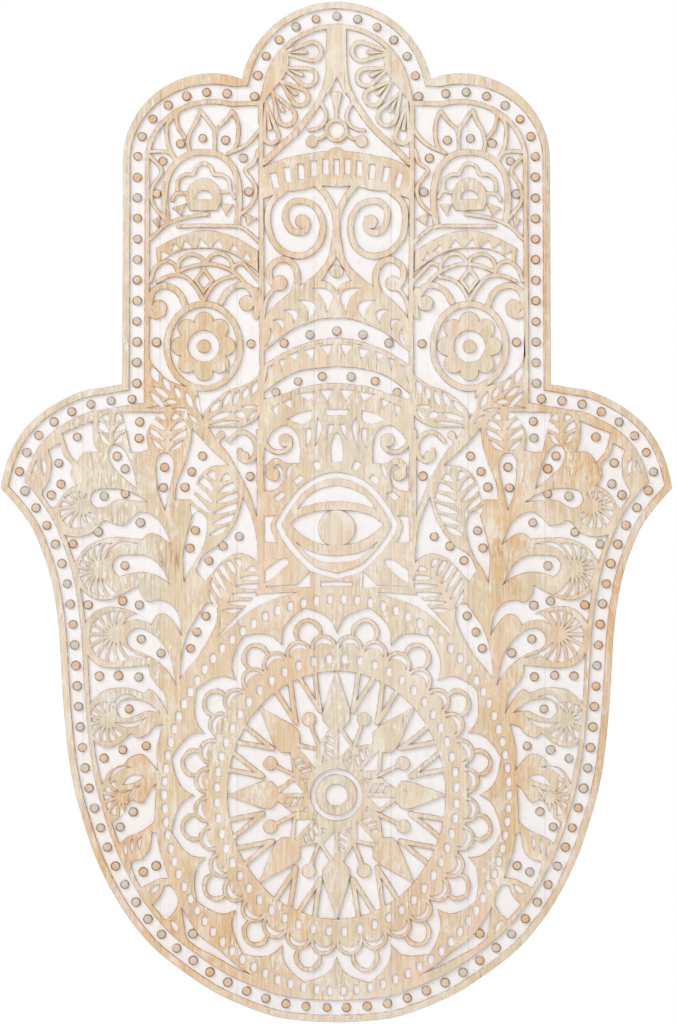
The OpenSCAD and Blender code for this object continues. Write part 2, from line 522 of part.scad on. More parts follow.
module bays() {
    for (p = concat(VINE_BAYS, COLUMN_BAYS, FLAME_CUTS)) blob(p);
    for (p = CORNER_PETALS) drop(p[0] + 0.28 * (p[1] - p[0]), p[1], p[2] - line_w / grid);
    for (p = [EYE_LID, EYE_WHITE, EYE_UNDER, GEM]) blob(p);
    for (p = [EYE_EDGE, EYE_EDGE_LOW]) line(p, line_w);
    disc([336.5, 130], 8);
    translate(mm(rosette_c)) scale([rosette_rx, rosette_ry]) circle(r = grid - bold_w / 2 / rosette_rx, $fn = 40);
    intersection() {
        disc([203.5, 199], 9);
        translate(mm([190, 199])) square([26 * grid, 12 * grid]);
    }
}
module islands() {
    for (p = CORNER_PETALS) drop(p[0] + 0.85 * (p[1] - p[0]), p[0] + 0.45 * (p[1] - p[0]), 2.6);
    line(FLAME_CURL, line_w);
    disc([285, 440], 6.6);
    disc([271.5, 474], 5.5);
    disc(eye_c, iris_r, 36);
    for (p = KNOB_LINES) line(p, line_w);
    disc([221, 435], 4);
    disc([244, 456], 5);
    disc([302.5, 221.5], 7);
    disc([280, 283], 7.5);
    for (a = [0:45:315]) drop(rosette_c, rosette_c + [22 * cos(a), 25 * sin(a)], 11.5);
    disc(rosette_c, 24);
}
module cuts() {
    for (m = concat(MIDDLE_MOONS, SIDE_MOONS, VINE_MOONS)) moon(m);
    for (t = concat(TEETH, SIDE_TEETH)) polygon(in_mm(t));
    for (f = FANS) fan(f);
    for (f = FERNS) fern(f);
    for (s = FENCE_SLOTS) translate(mm(s)) rotate(s[2]) square([4 * grid + 1, 15.5 * grid], center = true);
    translate(mm([336.5, 167])) square([4 * grid + 1, 16 * grid], center = true);
    difference() {
        disc(rosette_c, 15.8);
        disc(rosette_c, 6.6);
    }
}

// Medallion: everything in it follows from the counts and radii
function polar(r, a) = medallion_c + r * [medallion_flat * sin(a), -cos(a)];
module ring_of(r, n = 96) { polygon([for (i = [0:n - 1]) mm(polar(r, 360 * i / n))]); }
function slots_round(r, pitch) = spaced([for (i = [0:90]) mm(polar(r, 4 * i))], pitch);
module slot(p) {
    c = slot_w / 2;
    polygon([for (s = [-1, 1]) for (a = [180:-60:0]) p + [s * -c * cos(a), s * (slot_l / 2 - c + c * sin(a))]]);
}
module star() {
    step = 360 / spears;
    for (k = [0:spears - 1]) {
        a = k * step;
        polygon([for (q = [[spear_base_r, -6], [spear_wide_r, -spear_half], [spear_wide_r + 9, -spear_half],
            [star_r + 1, 0], [spear_wide_r + 9, spear_half], [spear_wide_r, spear_half], [spear_base_r, 6]])
            mm(polar(q[0], a) + q[1] * [cos(a), sin(a)])]);
        line([polar(hub_ring_r - 2, a), polar(spear_base_r + 2, a)], bold_w);
        for (s = [-1, 1]) {
            line([polar(hub_ring_r - 2, a + s * 16), polar(spear_base_r + 2, a + s * 6)], fine_w);
            line([polar(86, a + s * (step / 2 - 10)), polar(star_r + 2, a + s * (step / 2 - 11))], line_w);
            line([polar(86, a + s * (step / 2 - 10)), polar(star_r + 2, a + s * (step / 2 - 2.5))], line_w);
        }
        line([polar(hub_ring_r - 2, a + step / 2), polar(81, a + step / 2)], line_w);
        disc(polar(82, a + step / 2), 6.8, 16);
    }
    disc(medallion_c, hub_ring_r);
}
module petal(a, half) {
    for (s = [-1, 1]) {
        u = a + s * half / 2;
        translate(mm(polar(finger_r, u))) circle(r = finger_head_r * grid + line_w, $fn = 16);
    }
    translate(mm(polar(petal_tip_r - 21, a))) circle(r = 11 * grid, $fn = 14);
}
module lotus() {
    step = 360 / petals;
    half = step / 2;
    difference() {
        ring_of(medallion_r);
        ring_of(star_r);
        for (k = [0:petals - 1]) {
            a = (k + 0.5) * step;
            difference() {
                blob([polar(petal_foot_r + 6, a - 0.95 * half), polar(petal_tip_r - 20, a - 0.88 * half),
                    polar(petal_tip_r - 8, a - 0.5 * half), concat(polar(petal_tip_r, a), [1]),
                    polar(petal_tip_r - 8, a + 0.5 * half), polar(petal_tip_r - 20, a + 0.88 * half),
                    polar(petal_foot_r + 6, a + 0.95 * half)]);
                petal(a, half);
                ring_of(petal_foot_r + 8);
            }
            translate(mm(polar(petal_tip_r - 23, a))) circle(r = 6.5 * grid, $fn = 8);
            for (s = [-1, 1]) {
                u = a + s * half / 2;
                difference() {
                    translate(mm(polar(finger_r, u))) circle(r = (finger_head_r + 3) * grid, $fn = 16);
                    translate(mm(polar(finger_r, u))) circle(r = finger_head_r * grid, $fn = 16);
                    ring_of(finger_r - 2);
                }
            }
        }
        for (p = slots_round(inner_slots_r, inner_pitch)) slot(p);
        for (p = slots_round(outer_slots_r, outer_pitch)) slot(p);
    }
    difference() {
        ring_of(star_ring_r);
        ring_of(star_r);
    }
}
module medallion() {
    difference() {
        star();
        disc(medallion_c, disc_ground_r, 32);
    }
    difference() {
        disc(medallion_c, disc_ring_r, 32);
        disc(medallion_c, disc_r);
    }
    lotus();
}

// The whole carving inside the ridge
module carving() {
    difference() {
        both() difference() {
            union() {
                difference() {
                    fields();
                    bays();
                }
                islands();
            }
            cuts();
        }
        ring_of(medallion_r - 0.5);
        difference() {
            ring_of(arc_r + groove_w / grid / 2);
            ring_of(arc_r - groove_w / grid / 2);
            translate(mm([0, 1100])) square([674 * grid, 461 * grid]);
            translate(mm([293, 800])) square([87 * grid, 300 * grid]);
        }
    }
    medallion();
}
// The white ground: what is cut away to the carving depth
module ground() {
    difference() {
        inset(rim_w);
        inset(rim_w + channel_w);
    }
    difference() {
        inset(rim_w + channel_w + ridge_w);
        carving();
    }
}

// Solids. Fronts are drawn flat and stood up facing -Y, at a depth measured from the panel's back
module stand(depth) { rotate([90, 0, 0]) translate([0, 0, batten_t + depth]) children(); }
function joint(k) = grow * (-joint_shift + (k - 4) * stave_w);
far = panel_h;
// The strip of drawing that belongs to one stave, a little wider where more is given
module strip(k, more = 0) {
    left = k == 1 ? -far : joint(k - 1) - more;
    right = k == staves ? far : joint(k) + more;
    translate([left, -far]) square([right - left, 2 * far]);
}
function touches(k, x, r) = (k == 1 || x + r > joint(k - 1)) && (k == staves || x - r < joint(k));
function within(k, x, r) = (k == 1 || x - r > joint(k - 1)) && (k == staves || x + r < joint(k));
module bead(p) {
    translate([p[0], p[1], -sink]) cylinder(d = bead_d, h = sink + carve_d / 2, $fn = 32);
    translate([p[0], p[1], carve_d / 2]) cylinder(d1 = bead_d, d2 = bead_d / 2, h = carve_d / 3, $fn = 32);
}
module stave(k) {
    color(wood) {
        difference() {
            difference() {
                stand(0) linear_extrude(board_t) offset(delta = 0) intersection() {
                    hand();
                    strip(k);
                }
                holes(k);
            }
            stand(board_t - carve_d) linear_extrude(carve_d + margin)
                offset(delta = -chip) offset(delta = 2 * chip) offset(delta = -chip) intersection() {
                    ground();
                    strip(k, margin);
                }
        }
        stand(board_t - carve_d) for (b = all_beads) if (within(k, b[0], bead_d / 2)) bead(b);
        else if (touches(k, b[0], bead_d / 2)) intersection() {
            bead(b);
            translate([0, 0, -sink]) linear_extrude(carve_d + margin) strip(k);
        }
    }
}

// Battens and the countersunk screws that hold each stave to them
function screw_xs(l) = [for (k = [2:staves - 1]) let (c = (joint(k - 1) + joint(k)) / 2)
    if (abs(c) < l / 2 - screw_head_d) c];
module screw(more = 0) {
    head_h = (screw_head_d - screw_d) / 2;
    translate([0, 0, -more]) cylinder(d = screw_d + 2 * more, h = batten_t + screw_bite + 2 * more, $fn = 32);
    translate([0, 0, seat - more]) cylinder(d1 = screw_head_d + 2 * more, d2 = screw_d, h = head_h + more, $fn = 32);
    if (more > 0) translate([0, 0, -margin])
        cylinder(d = screw_head_d + 2 * more, h = margin + seat, $fn = 32);
}
module screws(l, z, more = 0) {
    for (x = screw_xs(l)) translate([x, 0, z]) rotate([90, 0, 0]) screw(more);
}
// Holes for all the screws that reach one stave
module holes(k) {
    for (b = [[upper_l, 0], [lower_l, lower_z]]) for (x = screw_xs(b[0]))
        if (touches(k, x, screw_d)) translate([x, 0, b[1]]) rotate([90, 0, 0]) screw(fit);
    for (side = [-1, 1]) if (touches(k, side * hanger_at[0], pin_d)) pins(side, fit);
}
module batten(l, z) {
    color(wood) difference() {
        translate([-l / 2, -batten_t, z - batten_w / 2]) cube([l, batten_t, batten_w]);
        screws(l, z, fit);
    }
}

// Hangers: a strap with a rolled eye, a D ring free to swing in it, and two pan-head screws
pin_drop = [ring_drop + wire_d / 2 + 1 + pin_head_d / 2, ring_drop + wire_d / 2 + 2 + 1.5 * pin_head_d];
strap_l = pin_drop[1] + pin_head_d / 2 + 1;
eye_r = wire_d / 2 + eye_gap;
module at_hanger(side) { translate([side * hanger_at[0], -batten_t, hanger_at[1]]) children(); }
module pin(more = 0) {
    translate([0, 0, -pin_bite]) cylinder(d = pin_d + 2 * more, h = pin_bite + strap_t + eps, $fn = 32);
    if (more == 0) translate([0, 0, strap_t]) {
        cylinder(d = pin_head_d, h = pin_head_h / 2, $fn = 32);
        translate([0, 0, pin_head_h / 2]) cylinder(d1 = pin_head_d, d2 = pin_d, h = pin_head_h / 2, $fn = 32);
    }
}
module pins(side, more = 0) {
    at_hanger(side) for (d = pin_drop) translate([0, 0, -d]) rotate([-90, 0, 0]) pin(more);
}
module strap(side) {
    color(steel) difference() {
        at_hanger(side) {
            translate([-strap_w / 2, 0, strap_w / 2 - strap_l]) cube([strap_w, strap_t, strap_l - strap_w / 2]);
            translate([0, 0, strap_w / 2 - strap_l]) rotate([-90, 0, 0]) cylinder(d = strap_w, h = strap_t, $fn = 48);
            translate([-strap_w / 2, hinge_y, 0]) rotate([0, 90, 0])
                cylinder(r = eye_r + strap_t, h = strap_w, $fn = 48);
        }
        at_hanger(side) translate([-strap_w / 2 - margin, hinge_y, 0]) rotate([0, 90, 0])
            cylinder(r = eye_r, h = strap_w + 2 * margin, $fn = 48);
        pins(side, fit);
    }
}
module wire(l) { cylinder(d = wire_d, h = l, $fn = 32); }
module bend(r, from, sweep) {
    rotate([0, 0, from]) rotate_extrude(angle = sweep, $fn = 64) translate([r, 0]) circle(d = wire_d, $fn = 32);
}
module d_ring(side) {
    half = ring_w / 2;
    color(steel) at_hanger(side) translate([0, hinge_y, 0]) rotate([90, 0, 0]) {
        translate([-half + bend_r, 0, 0]) rotate([0, 90, 0]) wire(ring_w - 2 * bend_r);
        for (s = [0, 1]) mirror([s, 0, 0]) {
            translate([half - bend_r, -bend_r, 0]) bend(bend_r, 0, 90);
            translate([half, -bend_r, 0]) rotate([90, 0, 0]) wire(ring_drop - half - bend_r);
        }
        translate([0, half - ring_drop, 0]) bend(half, 180, 180);
    }
}

module stave_1() { stave(1); }
module stave_2() { stave(2); }
module stave_3() { stave(3); }
module stave_4() { stave(4); }
module stave_5() { stave(5); }
module stave_6() { stave(6); }
module stave_7() { stave(7); }
module stave_8() { stave(8); }
module stave_9() { stave(9); }
module batten_upper() { batten(upper_l, 0); }
module batten_lower() { batten(lower_l, lower_z); }
module screws_upper() { color(steel) screws(upper_l, 0); }
module screws_lower() { color(steel) screws(lower_l, lower_z); }
module hanger_strap_left() { strap(-1); }
module hanger_strap_right() { strap(1); }
module hanger_ring_left() { d_ring(-1); }
module hanger_ring_right() { d_ring(1); }
module hanger_screws_left() { color(steel) pins(-1); }
module hanger_screws_right() { color(steel) pins(1); }

stave_1();
stave_2();
stave_3();
stave_4();
stave_5();
stave_6();
stave_7();
stave_8();
stave_9();
batten_upper();
batten_lower();
screws_upper();
screws_lower();
hanger_strap_left();
hanger_strap_right();
hanger_ring_left();
hanger_ring_right();
hanger_screws_left();
hanger_screws_right();
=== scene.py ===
"""Carved hamsa plaque: white-washed relief on nine glued staves, with battens and D-ring hangers behind.

The carver's pattern is squared up on a grid, x from the left and y down from the fingertip. Only the left
half is listed. The right half is its mirror image, and a slight wobble keeps the two from matching exactly.
"""

import math

import bmesh
import bpy
from mathutils import Matrix, Vector, noise


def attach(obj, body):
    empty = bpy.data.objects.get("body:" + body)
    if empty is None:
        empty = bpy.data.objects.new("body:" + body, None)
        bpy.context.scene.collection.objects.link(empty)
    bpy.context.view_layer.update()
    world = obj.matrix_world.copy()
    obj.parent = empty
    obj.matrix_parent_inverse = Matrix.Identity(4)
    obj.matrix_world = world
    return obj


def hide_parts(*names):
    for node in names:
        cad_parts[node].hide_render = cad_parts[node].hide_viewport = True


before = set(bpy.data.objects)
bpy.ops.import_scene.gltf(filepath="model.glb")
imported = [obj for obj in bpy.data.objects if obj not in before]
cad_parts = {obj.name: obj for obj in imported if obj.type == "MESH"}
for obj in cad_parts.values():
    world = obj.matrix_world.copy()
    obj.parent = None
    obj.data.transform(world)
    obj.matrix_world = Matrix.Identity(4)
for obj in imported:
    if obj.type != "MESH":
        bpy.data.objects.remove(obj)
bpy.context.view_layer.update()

# Sizes of the plaque, in millimetres
HEIGHT = 610
GRID = HEIGHT / 1022
# The pattern's middle line, and its row that lies at height 0, behind which the upper batten runs
MIDDLE = 336.5
BATTEN_ROW = 300
STAVE_W = 46
STAVES = 9
JOINT_SHIFT = 13.4
RIM_W = 4.2
CHANNEL_W = 9
RIDGE_W = 2.8
BEAD_D = 5.6
BEAD_PITCH = 12.4
FINE_W = 2.2
LINE_W = 2.7
BOLD_W = 3.6
SLOT_W = 3.8
SLOT_L = 6.2
INNER_PITCH = 9.2
OUTER_PITCH = 8
PETALS = 16
SPEARS = 8
# Half the hairline left at each glue joint
GLUE_GAP = 0.05

# Depths in millimetres, measured along Y from the wall: the front is the lowest
PANEL_BACK = -8
GROUND = -23.8
TOP = -26
WORN_EDGE = 0.3
FINE_EDGE = 0.2
SUNK = 0.4
FINE_DEPTH = 1.3
# How far the knife and the beads stray from the pattern, and how much the beads differ in size
WOBBLE = 0.35
BEAD_DRIFT = 0.25
BEAD_VARY = 0.08

# Hardware, in millimetres
BATTEN_W = 32
BATTEN_T = 8
# Each batten by its length and its height on the plaque
UPPER_BATTEN = (230, 0)
LOWER_BATTEN = (296, -236)
SCREW_D = 4
SCREW_HEAD_D = 8
SCREW_BITE = 10
SCREW_SEAT = 0.4
# Room round a screw in its hole
DRILL_GAP = 0.05
STRAP_W = 10
STRAP_T = 1.2
WIRE_D = 2.6
EYE_GAP = 0.06
RING_W = 20
RING_DROP = 16
RING_BEND = 3
HANGER_X = 84
HANGER_Z = 62
EYE_LIFT = 0.3
PIN_D = 3
PIN_HEAD_D = 6
PIN_HEAD_H = 1.8
PIN_BITE = 9

# The outline of the left half, from the middle fingertip down to the foot
TIP_C = [MIDDLE, 98]
TIP_R = 96.5
SIDE_C = [212, 160]
SIDE_RX = 89
SIDE_RY = 87
# The rim is wider over the side fingertips
SIDE_DROP = 4
NOTCH_A = 169.2
SIDE_A = 70.3
NOTCH = [242, 79]
THUMB_LINE = [
    [122, 384, 1], [105, 387], [79, 392], [48, 408], [29, 424], [17, 440], [9, 456], [4, 472],
    [0.5, 488, 1]
]
WRIST_LINE = [
    [0.5, 488, 1], [15, 504], [27, 520], [36, 536], [48, 568], [55, 600], [59, 632], [61.5, 672],
    [64, 712], [69, 760], [75, 792], [84, 824], [95, 856], [110, 888], [130, 920], [158, 952], [201, 984],
    [230, 1000], [272, 1016], [304, 1021], [MIDDLE, 1022.5]
]

# Middle finger: lines of wood, each with its width
DIVIDER = [[261, 104], [261, 200], [262, 330], [261, 450], [261.5, 596]]
MIDDLE_BOLD = [
    [[331, 26], [330, 60], [327, 80], [320, 99], [308, 117], [296, 132], [280, 147], [264, 162]],
    [[307, 223], [305.5, 230], [299, 232.5], [291, 230], [286, 221], [286, 210], [293, 202], [303, 201],
     [313, 205], [320, 214], [323, 226], [321, 239], [315, 249], [304, 255], [293, 255], [281, 250],
     [272, 239], [268, 225], [268, 210], [273, 199], [284, 190]],
    [[318, 186], [326, 195], [331.5, 205], [335.5, 217], [336, 232], [334.6, 248], [331, 260], [323, 271],
     [311, 282], [296, 292], [283, 302], [272, 313], [264, 325]],
    [[276, 288], [270, 279], [269.5, 269], [275, 262], [284, 259], [292, 263], [297, 272], [297.5, 282],
     [294, 292]],
    [[283, 302], [291, 312], [296, 324]]
]
MIDDLE_LINES = [
    [[309, 130], [318, 128], [325, 122], [326, 112], [321, 103]],
    [[312, 139], [321, 138], [327, 133]], [[274, 289], [267, 299], [264, 310], [262, 324]],
    [[263, 368], [280, 357], [298, 348], [316, 342], [MIDDLE, 339.5]],
    [[263, 412], [280, 399], [298, 390.5], [316, 386.5], [MIDDLE, 385]]
]
MIDDLE_SOLIDS = [
    [[332, 238, 1], [337, 238, 1], [337, 254.5, 1], [332.5, 261], [328.5, 267], [326.5, 274],
     [323, 279.5, 1], [317, 284], [311, 284], [321, 271], [329, 255]],
    [[262, 92], [268, 72], [277, 55], [284, 51, 1], [289, 58], [287, 70], [282, 79], [274, 88], [268, 96],
     [262, 104]],
    [[262, 168, 1], [282, 159], [310, 153], [MIDDLE, 150, 1], [MIDDLE, 187, 1], [318, 186], [300, 190],
     [282, 192], [262, 199, 1]],
    [[262, 322, 1], [272, 311], [285, 300], [297, 289], [310, 283], [321, 280.5], [331, 284],
     [336, 290.5, 1], [337, 290.5, 1], [337, 318, 1], [320, 319], [298, 327], [283, 336], [272, 345],
     [262, 352, 1]],
    [[262, 368, 1], [298, 349], [MIDDLE, 340, 1], [MIDDLE, 366, 1], [312, 368.5], [296, 372], [280, 380],
     [262, 394, 1]]
]
# Petals of the corner flowers: where each springs, its round end and that end's radius
CORNER_PETALS = [
    [[278, 53], [312, 51], 11.5], [[280, 66], [307, 77], 11], [[277, 78], [300, 97], 10.5],
    [[270, 88], [286, 116], 11.5], [[265, 98], [271, 136], 9.5]
]
FENCE_SLOTS = [[274.5, 180, 13], [287.5, 174.5, 9], [301, 171.5, 3], [313.5, 168.5, 0], [325.5, 166.5, 0]]
# Crescents cut out of solid wood: two tips and how far each side bows
MIDDLE_MOONS = [
    [[312, 288], [326, 313], -15, -4], [[297.5, 299.5], [307, 321], -14, -4.5],
    [[283, 310], [293, 324.5], -10.5, -4], [[272, 320], [281, 331], -8, -3],
    [[270, 327], [264, 347], -7, -3]
]
TEETH = [
    [[288, 355], [298, 351], [296, 361]], [[303, 350], [315, 347], [312, 359]],
    [[320, 345], [333, 344], [328, 356]], [[279, 360], [285, 358], [282, 372]],
    [[268, 367], [273, 364], [264, 384]], [[271, 408], [279, 403], [277, 417]],
    [[282, 402], [292, 398], [291, 408]], [[297, 394], [314, 391], [310, 402]],
    [[320, 390], [333, 389], [327, 402]]
]
MIDDLE_DOTS = [[310, 334.5], [284, 343], [276, 392.3], [298, 381], [322, 376.5]]

# Below the arches: flames, curls and the eye
FLAME_CUTS = [
    [[287, 419, 1], [298, 413], [311, 410, 1], [311, 420], [300, 424, 1]],
    [[324, 409, 1], [MIDDLE, 409, 1], [MIDDLE, 415, 1], [326, 415, 1]],
    [[306, 428, 1], [311.5, 428, 1], [311, 438], [306, 448, 1]],
    [[317, 417, 1], [321.5, 426], [319, 438], [315, 447, 1], [316, 430]],
    [[328, 424, 1], [334, 424, 1], [330, 434], [326, 440, 1]],
    [[333, 436], [MIDDLE, 432, 1], [MIDDLE, 462, 1], [331, 462, 1], [330.5, 448]],
    [[293, 462, 1], [290, 474], [286, 479, 1], [287, 469]],
    [[311, 463, 1], [318, 460, 1], [322, 468, 1], [316, 471, 1]],
    [[293, 480, 1], [300, 474, 1], [304, 478, 1], [297, 486, 1]],
    [[273, 497, 1], [281, 491, 1], [286, 494, 1], [278, 502, 1]],
    [[264, 516, 1], [276, 515, 1], [270, 526], [277, 543, 1], [264, 542, 1]],
    [[264.5, 583, 1], [264.5, 570, 1], [279, 560, 1], [287, 558, 1], [289, 563, 1], [276, 576, 1]],
    [[266, 586, 1], [296, 585, 1], [303, 578, 1], [310, 571, 1], [310.8, 587.5, 1], [266, 588, 1]],
    [[320, 582, 1], [MIDDLE, 581, 1], [MIDDLE, 586, 1], [320, 586, 1]]
]
CURL_BAYS = [
    [[264, 468, 1], [264, 452], [267, 440], [273, 431], [284, 425], [295, 430], [300, 444], [300, 463, 1],
     [286, 463], [280, 459], [272, 459]],
    [[264, 462], [267, 469], [269, 478], [274, 481], [279, 478], [279, 471], [274, 468, 1], [278, 464],
     [283, 472], [281, 484], [274, 490], [264, 491, 1]]
]
# The long white sliver over each shoulder of the medallion
SLIVER = [
    [296, 592, 1], [280, 592.8], [262, 594], [254, 596], [249, 601], [240, 611], [228, 624],
    [219, 634.5, 1], [221, 636.5, 1], [232, 625.5], [246, 613.5], [256, 607], [270, 601], [282, 597]
]
FLAME_CURL = [[262, 434], [267, 446], [275, 451.5], [284, 451], [290, 445], [290, 438]]
EYE_EDGE = [[278, 524, 1], [290, 504], [304, 488], [320, 478], [MIDDLE, 474.5]]
EYE_EDGE_LOW = [[278, 524, 1], [284, 537], [298, 555], [314, 569], [MIDDLE, 576]]
EYE_LID = [
    [297, 509, 1], [308, 496], [322, 488], [MIDDLE, 485, 1], [MIDDLE, 501, 1], [320, 502.5], [306, 506]
]
EYE_WHITE = [
    [290, 524, 1], [300, 516.3], [316, 511.3], [MIDDLE, 510.2, 1], [MIDDLE, 545.2, 1], [322, 544],
    [308, 538.5], [298, 532]
]
GEM = [[197.5, 280, 1], [203.5, 272, 1], [209.5, 280, 1], [203.5, 288, 1]]
EYE_UNDER = [
    [295, 541, 1], [306, 549], [320, 554], [MIDDLE, 556, 1], [MIDDLE, 562.5, 1], [320, 561], [306, 553]
]
EYE_C = [MIDDLE, 528.3]
IRIS_R = 18.2

# Side finger: lotus, horseshoe arch, fish scales, curls and the rosette
SIDE_LINES = [
    [[146, 153], [156, 162], [162, 171], [155, 182], [151, 194], [154, 206], [164, 218]],
    [[146, 152], [160, 151], [170, 153], [176, 161]],
    [[178, 112], [168, 122], [166.5, 135], [169, 148], [176, 160]],
    [[176, 117], [178, 127], [185, 137]],
    [[200, 110], [197, 120], [191, 130], [188, 142], [190, 153]],
    [[202, 112], [209, 122], [214, 131], [214.5, 153]], [[232, 111], [225, 121], [217, 128], [214, 135]],
    [[233, 112], [237, 121], [238, 135], [235, 147], [228, 153]],
    [[258, 131], [250, 141], [240, 148], [229, 152]],
    [[258, 150], [254, 162], [245, 170], [252, 180], [256, 190], [252, 203], [243, 212], [237, 215]],
    [[177, 190], [178, 180], [185, 174.5], [193, 174], [197, 166], [203.5, 163.5], [210, 166], [214, 174],
     [222, 174.5], [229, 180], [230, 190]],
    [[172, 200], [176, 194], [186, 193]], [[222, 192], [230, 191], [234, 197]],
    [[150, 239], [165, 225], [182, 218], [208, 213.5]],
    [[178, 226], [200, 225.5], [235, 226], [247, 231], [259, 242]],
    [[150, 281], [155, 268], [165, 261], [174, 264], [178, 272]],
    [[177, 270], [180, 260], [190, 254], [201, 257], [205, 264]],
    [[205, 264], [212, 255], [222, 254], [231, 261], [233, 271]],
    [[232, 268], [241, 263], [250, 271], [259, 281]],
    [[157, 281], [172, 275], [186, 277], [196, 288], [203, 300]],
    [[178, 271], [195, 265.5], [213, 264], [230, 270], [243, 281], [256, 300]],
    [[204, 300], [212, 286], [222, 279], [234, 276.5]]
]
SIDE_BOLD = [
    [[167, 220], [164.5, 200], [167, 178], [176, 163], [190, 154], [205, 152], [220, 155], [232, 166],
     [238, 182], [239, 202], [237, 222]],
    [[149, 312], [151, 294], [160, 286], [172, 287], [181, 295], [186, 307]],
    [[221, 302], [228, 291], [240, 285], [251, 289], [257, 304]],
    [[150, 313], [156, 316], [163, 313]], [[256, 316], [258, 300], [256, 290]]
]
SIDE_SOLIDS = [
    [[156, 248, 1], [175, 238], [190, 232.5], [204, 230.5], [220, 232], [240, 240], [258, 251, 1],
     [258, 272, 1], [240, 258], [222, 250], [204, 248], [185, 249], [168, 256], [158, 263, 1]],
    [[186, 200], [188, 188], [196, 179.5], [203.5, 177.5], [211, 179.5], [219, 188], [221, 200],
     [217, 210, 1], [190, 210, 1]],
    [[172, 208, 1], [186, 203, 1], [181, 215, 1]], [[221, 204, 1], [233, 204, 1], [226, 215, 1]],
    [[152, 220, 1], [160, 216, 1], [158, 228, 1]], [[244, 213, 1], [257, 218, 1], [247, 225, 1]],
    [[193.5, 280, 1], [203.5, 265.5, 1], [214, 280, 1], [203.5, 293.5, 1]],
    [[148, 318, 1], [148, 355], [158, 371], [170, 381], [184, 386], [196, 389], [200, 410], [205, 430],
     [190, 424], [178, 410, 1], [148, 410, 1]],
    [[202, 432, 1], [204, 414], [214, 401], [228, 391], [245, 385], [262, 372, 1], [262, 406, 1],
     [256, 419], [240, 427], [222, 430]]
]
SIDE_TEETH = [
    [[161, 251], [170, 255], [161, 261]], [[173, 243], [180, 248], [171, 252]],
    [[184, 240], [193, 247], [181, 249]], [[200, 238], [209, 247], [197, 247]],
    [[218, 239], [224, 248], [211, 247]], [[233, 244], [241, 251], [229, 251]],
    [[246, 251], [251, 261], [243, 258]]
]
SIDE_MOONS = [
    [[151, 366], [158, 383], -4, 4], [[153, 386], [169, 398], -3, 3], [[149, 391], [165, 408], -3, 3],
    [[162, 377], [171, 392], -3, 3], [[174, 386], [181, 399], -3, 3], [[164, 401], [178, 402], -3, 2],
    [[185, 391], [193, 409], -3, 3], [[196, 395], [201, 415], -3, 3], [[172, 408], [190, 410], -1.5, 2],
    [[188, 414], [199, 424], -2, 2], [[209, 413], [221, 400], -3, 3], [[222, 408], [231, 391], -3, 3],
    [[233, 406], [239, 390], -3, 3], [[243, 400], [248, 386], -3, 3], [[252, 395], [257, 380], -3, 3],
    [[208, 420], [232, 412], -3, 3], [[234, 413], [246, 417], -4, 3], [[208, 425], [240, 421], -2, 2],
    [[241, 407], [257, 406], -2, 2], [[247, 421], [257, 409], -2, 2]
]
ROSETTE_C = [203.5, 346]
ROSETTE_RX = 36.5
ROSETTE_RY = 42
SIDE_DOTS = [
    [162.7, 161], [180.6, 143.5], [202.7, 138], [225.5, 140], [243.5, 158], [249, 191.5], [156.5, 193.5],
    [156.4, 342], [251, 343.5]
]

